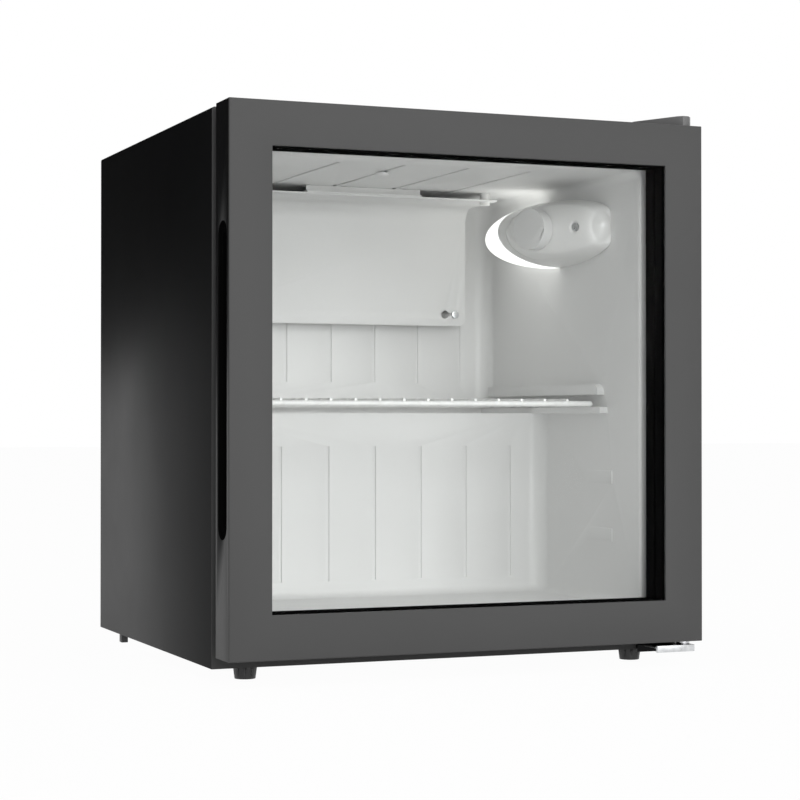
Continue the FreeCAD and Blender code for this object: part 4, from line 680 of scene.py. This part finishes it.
gasket = mesh_piece("magnetic_gasket",
                    mitred_ring(GASKET_SECTION, gasket_low, gasket_high, GASKET_WIDTH))
gasket.data.shade_smooth()
gasket.data.set_sharp_from_angle(angle=radians(50))
settled(gasket, "magnetic_gasket", RUBBER, "door_gasket")
eased("top_bushing", "upper_hinge_bush", BLACK_PLASTIC, edge=0.0003)
eased("bottom_bushing", "lower_hinge_bush", BLACK_PLASTIC, edge=0.0003)

# ---------------------------------------------------------------- hinges
# Two plated brackets with riveted pins carry the door. The upper one is screwed to a nut
# plate foamed into the top and hidden under a clipped plastic cover. The lower one keeps its
# bright plate on the front lip and is coloured near black behind it.
PIN_STEEL = finish_of("turned_steel", (0.58, 0.58, 0.60, 1), 0.25, patchiness=0.05,
                      grain_scale=2600.0, relief=0.05, Metallic=1.0)
for node, name in (("top_hinge_bracket", "upper_hinge_plate"),
                   ("hinge_nut_plate", "upper_hinge_nut_plate"),
                   ("top_hinge_screws", "upper_hinge_screws"),
                   ("bottom_hinge_screws", "lower_hinge_screws")):
    eased(node, name, PLATED, edge=0.0004)
LIP_DEPTH = 0.0030
leaf_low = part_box("bottom_hinge_bracket")[0]
LEAF_PLATE = zinc_plated("dipped_leaf")
# The leaf is bright zinc on its front lip and near black behind it.
front_skin_by_depth(LEAF_PLATE, leaf_low.y + LIP_DEPTH, leaf_low.y + LIP_DEPTH + 0.0010, face=ZINC)
eased("bottom_hinge_bracket", "lower_hinge_plate", LEAF_PLATE, edge=0.0004)
eased("top_hinge_pin", "upper_hinge_pin", PIN_STEEL, edge=0.0004)
eased("bottom_hinge_pin", "lower_hinge_pin", PIN_STEEL, edge=0.0004)
COVER_GREY = finish_of("hinge_cover_plastic", (0.13, 0.13, 0.13, 1), 0.4, patchiness=0.05,
                       grain_scale=1300.0, relief=0.1)
eased("top_hinge_cover", "upper_hinge_cover", COVER_GREY, edge=0.0008, rounds=3)

# ---------------------------------------------------------------- feet
# Two ribbed feet on threaded studs level the front, and two fixed pegs carry the back.
for node, name in (("front_foot_left", "levelling_foot_left"),
                   ("front_foot_right", "levelling_foot_right"),
                   ("rear_feet", "fixed_rear_pegs")):
    eased(node, name, BLACK_PLASTIC, edge=0.0005)
eased("foot_nuts", "levelling_foot_nuts", PLATED, edge=0.0003)

# ---------------------------------------------------------------- studio
# A pale floor, a wide soft lamp in front, one above, and a dark card far behind that keeps
# the black sides deep above the floor's reflection.


def seen_as_white(tree, shader, target, share):
    """Mix a shader with plain white for the rays that show the background."""
    path = tree.nodes.new("ShaderNodeLightPath")
    first = tree.nodes.new("ShaderNodeMath")
    first.operation = "MAXIMUM"
    second = tree.nodes.new("ShaderNodeMath")
    second.operation = "MAXIMUM"
    weight = tree.nodes.new("ShaderNodeMath")
    weight.operation = "MULTIPLY"
    weight.inputs[1].default_value = share
    white = tree.nodes.new("ShaderNodeEmission")
    mixed = tree.nodes.new("ShaderNodeMixShader")
    tree.links.new(path.outputs["Is Camera Ray"], first.inputs[0])
    tree.links.new(path.outputs["Is Glossy Ray"], first.inputs[1])
    tree.links.new(first.outputs[0], second.inputs[0])
    tree.links.new(path.outputs["Is Transmission Ray"], second.inputs[1])
    tree.links.new(second.outputs[0], weight.inputs[0])
    tree.links.new(weight.outputs[0], mixed.inputs[0])
    tree.links.new(shader, mixed.inputs[1])
    tree.links.new(white.outputs[0], mixed.inputs[2])
    tree.links.new(mixed.outputs[0], target)


floor_bm = bmesh.new()
bmesh.ops.create_grid(floor_bm, x_segments=1, y_segments=1, size=14)
floor = mesh_piece("studio_floor", floor_bm)
if floor.data.polygons[0].normal.z < 0:
    floor.data.flip_normals()
FLOOR = bpy.data.materials.new("studio_floor")
FLOOR.use_nodes = True
FLOOR.node_tree.nodes["Principled BSDF"].inputs["Base Color"].default_value = (0.86, 0.86, 0.86, 1)
FLOOR.node_tree.nodes["Principled BSDF"].inputs["Roughness"].default_value = 0.9
FLOOR.node_tree.nodes["Principled BSDF"].inputs["Specular IOR Level"].default_value = 0.0
seen_as_white(FLOOR.node_tree, FLOOR.node_tree.nodes["Principled BSDF"].outputs[0],
              FLOOR.node_tree.nodes["Material Output"].inputs["Surface"], 0.97)
floor.data.materials.append(FLOOR)

world = bpy.data.worlds.new("studio")
bpy.context.scene.world = world
world.use_nodes = True
sky = world.node_tree.nodes["Background"]
sky.inputs["Color"].default_value = (1, 1, 1, 1)
sky.inputs["Strength"].default_value = 0.4
seen_as_white(world.node_tree, sky.outputs[0],
              world.node_tree.nodes["World Output"].inputs["Surface"], 1.0)


def soft_lamp(name, place, aim, width, height, watts):
    """A rectangular area lamp that faces its aim."""
    data = bpy.data.lights.new(name, "AREA")
    data.shape = "RECTANGLE"
    data.size = width
    data.size_y = height
    data.energy = watts
    lamp = bpy.data.objects.new(name, data)
    lamp.location = place
    lamp.rotation_euler = (Vector(aim) - Vector(place)).to_track_quat("-Z", "Y").to_euler()
    bpy.context.scene.collection.objects.link(lamp)
    return lamp


soft_lamp("front_softbox", (0.2, -2.6, 0.75), (0, 0, 0.25), 2.6, 1.5, 37)
soft_lamp("top_softbox", (0.0, -0.5, 2.4), (0, 0, 0.25), 2.0, 2.0, 14)

card_bm = bmesh.new()
bmesh.ops.create_grid(card_bm, x_segments=1, y_segments=1, size=1,
                      matrix=Matrix.Translation((-3.0, 4.0, 2.3)) @ Matrix.Diagonal((4.0, 1.0, 2.0, 1))
                      @ Matrix.Rotation(pi / 2, 4, "X"))
card = mesh_piece("dark_card", card_bm)
CARD = bpy.data.materials.new("dark_card")
CARD.use_nodes = True
CARD.node_tree.nodes["Principled BSDF"].inputs["Base Color"].default_value = (0.01, 0.01, 0.01, 1)
CARD.node_tree.nodes["Principled BSDF"].inputs["Roughness"].default_value = 1.0
card.data.materials.append(CARD)
card.visible_camera = card.visible_diffuse = card.visible_transmission = card.visible_shadow = False

# ---------------------------------------------------------------- camera
# It stands at the height of the door's middle, to the left of the cabinet.
camera_data = bpy.data.cameras.new("camera")
camera_data.lens = 92.23
camera_data.sensor_width = 36
camera = bpy.data.objects.new("camera", camera_data)
camera.location = (-0.7296, -1.8275, 0.2217)
camera.rotation_euler = (radians(90.52), 0, radians(-22.33))
bpy.context.scene.collection.objects.link(camera)
bpy.context.scene.camera = camera
bpy.context.scene.view_settings.view_transform = "Standard"
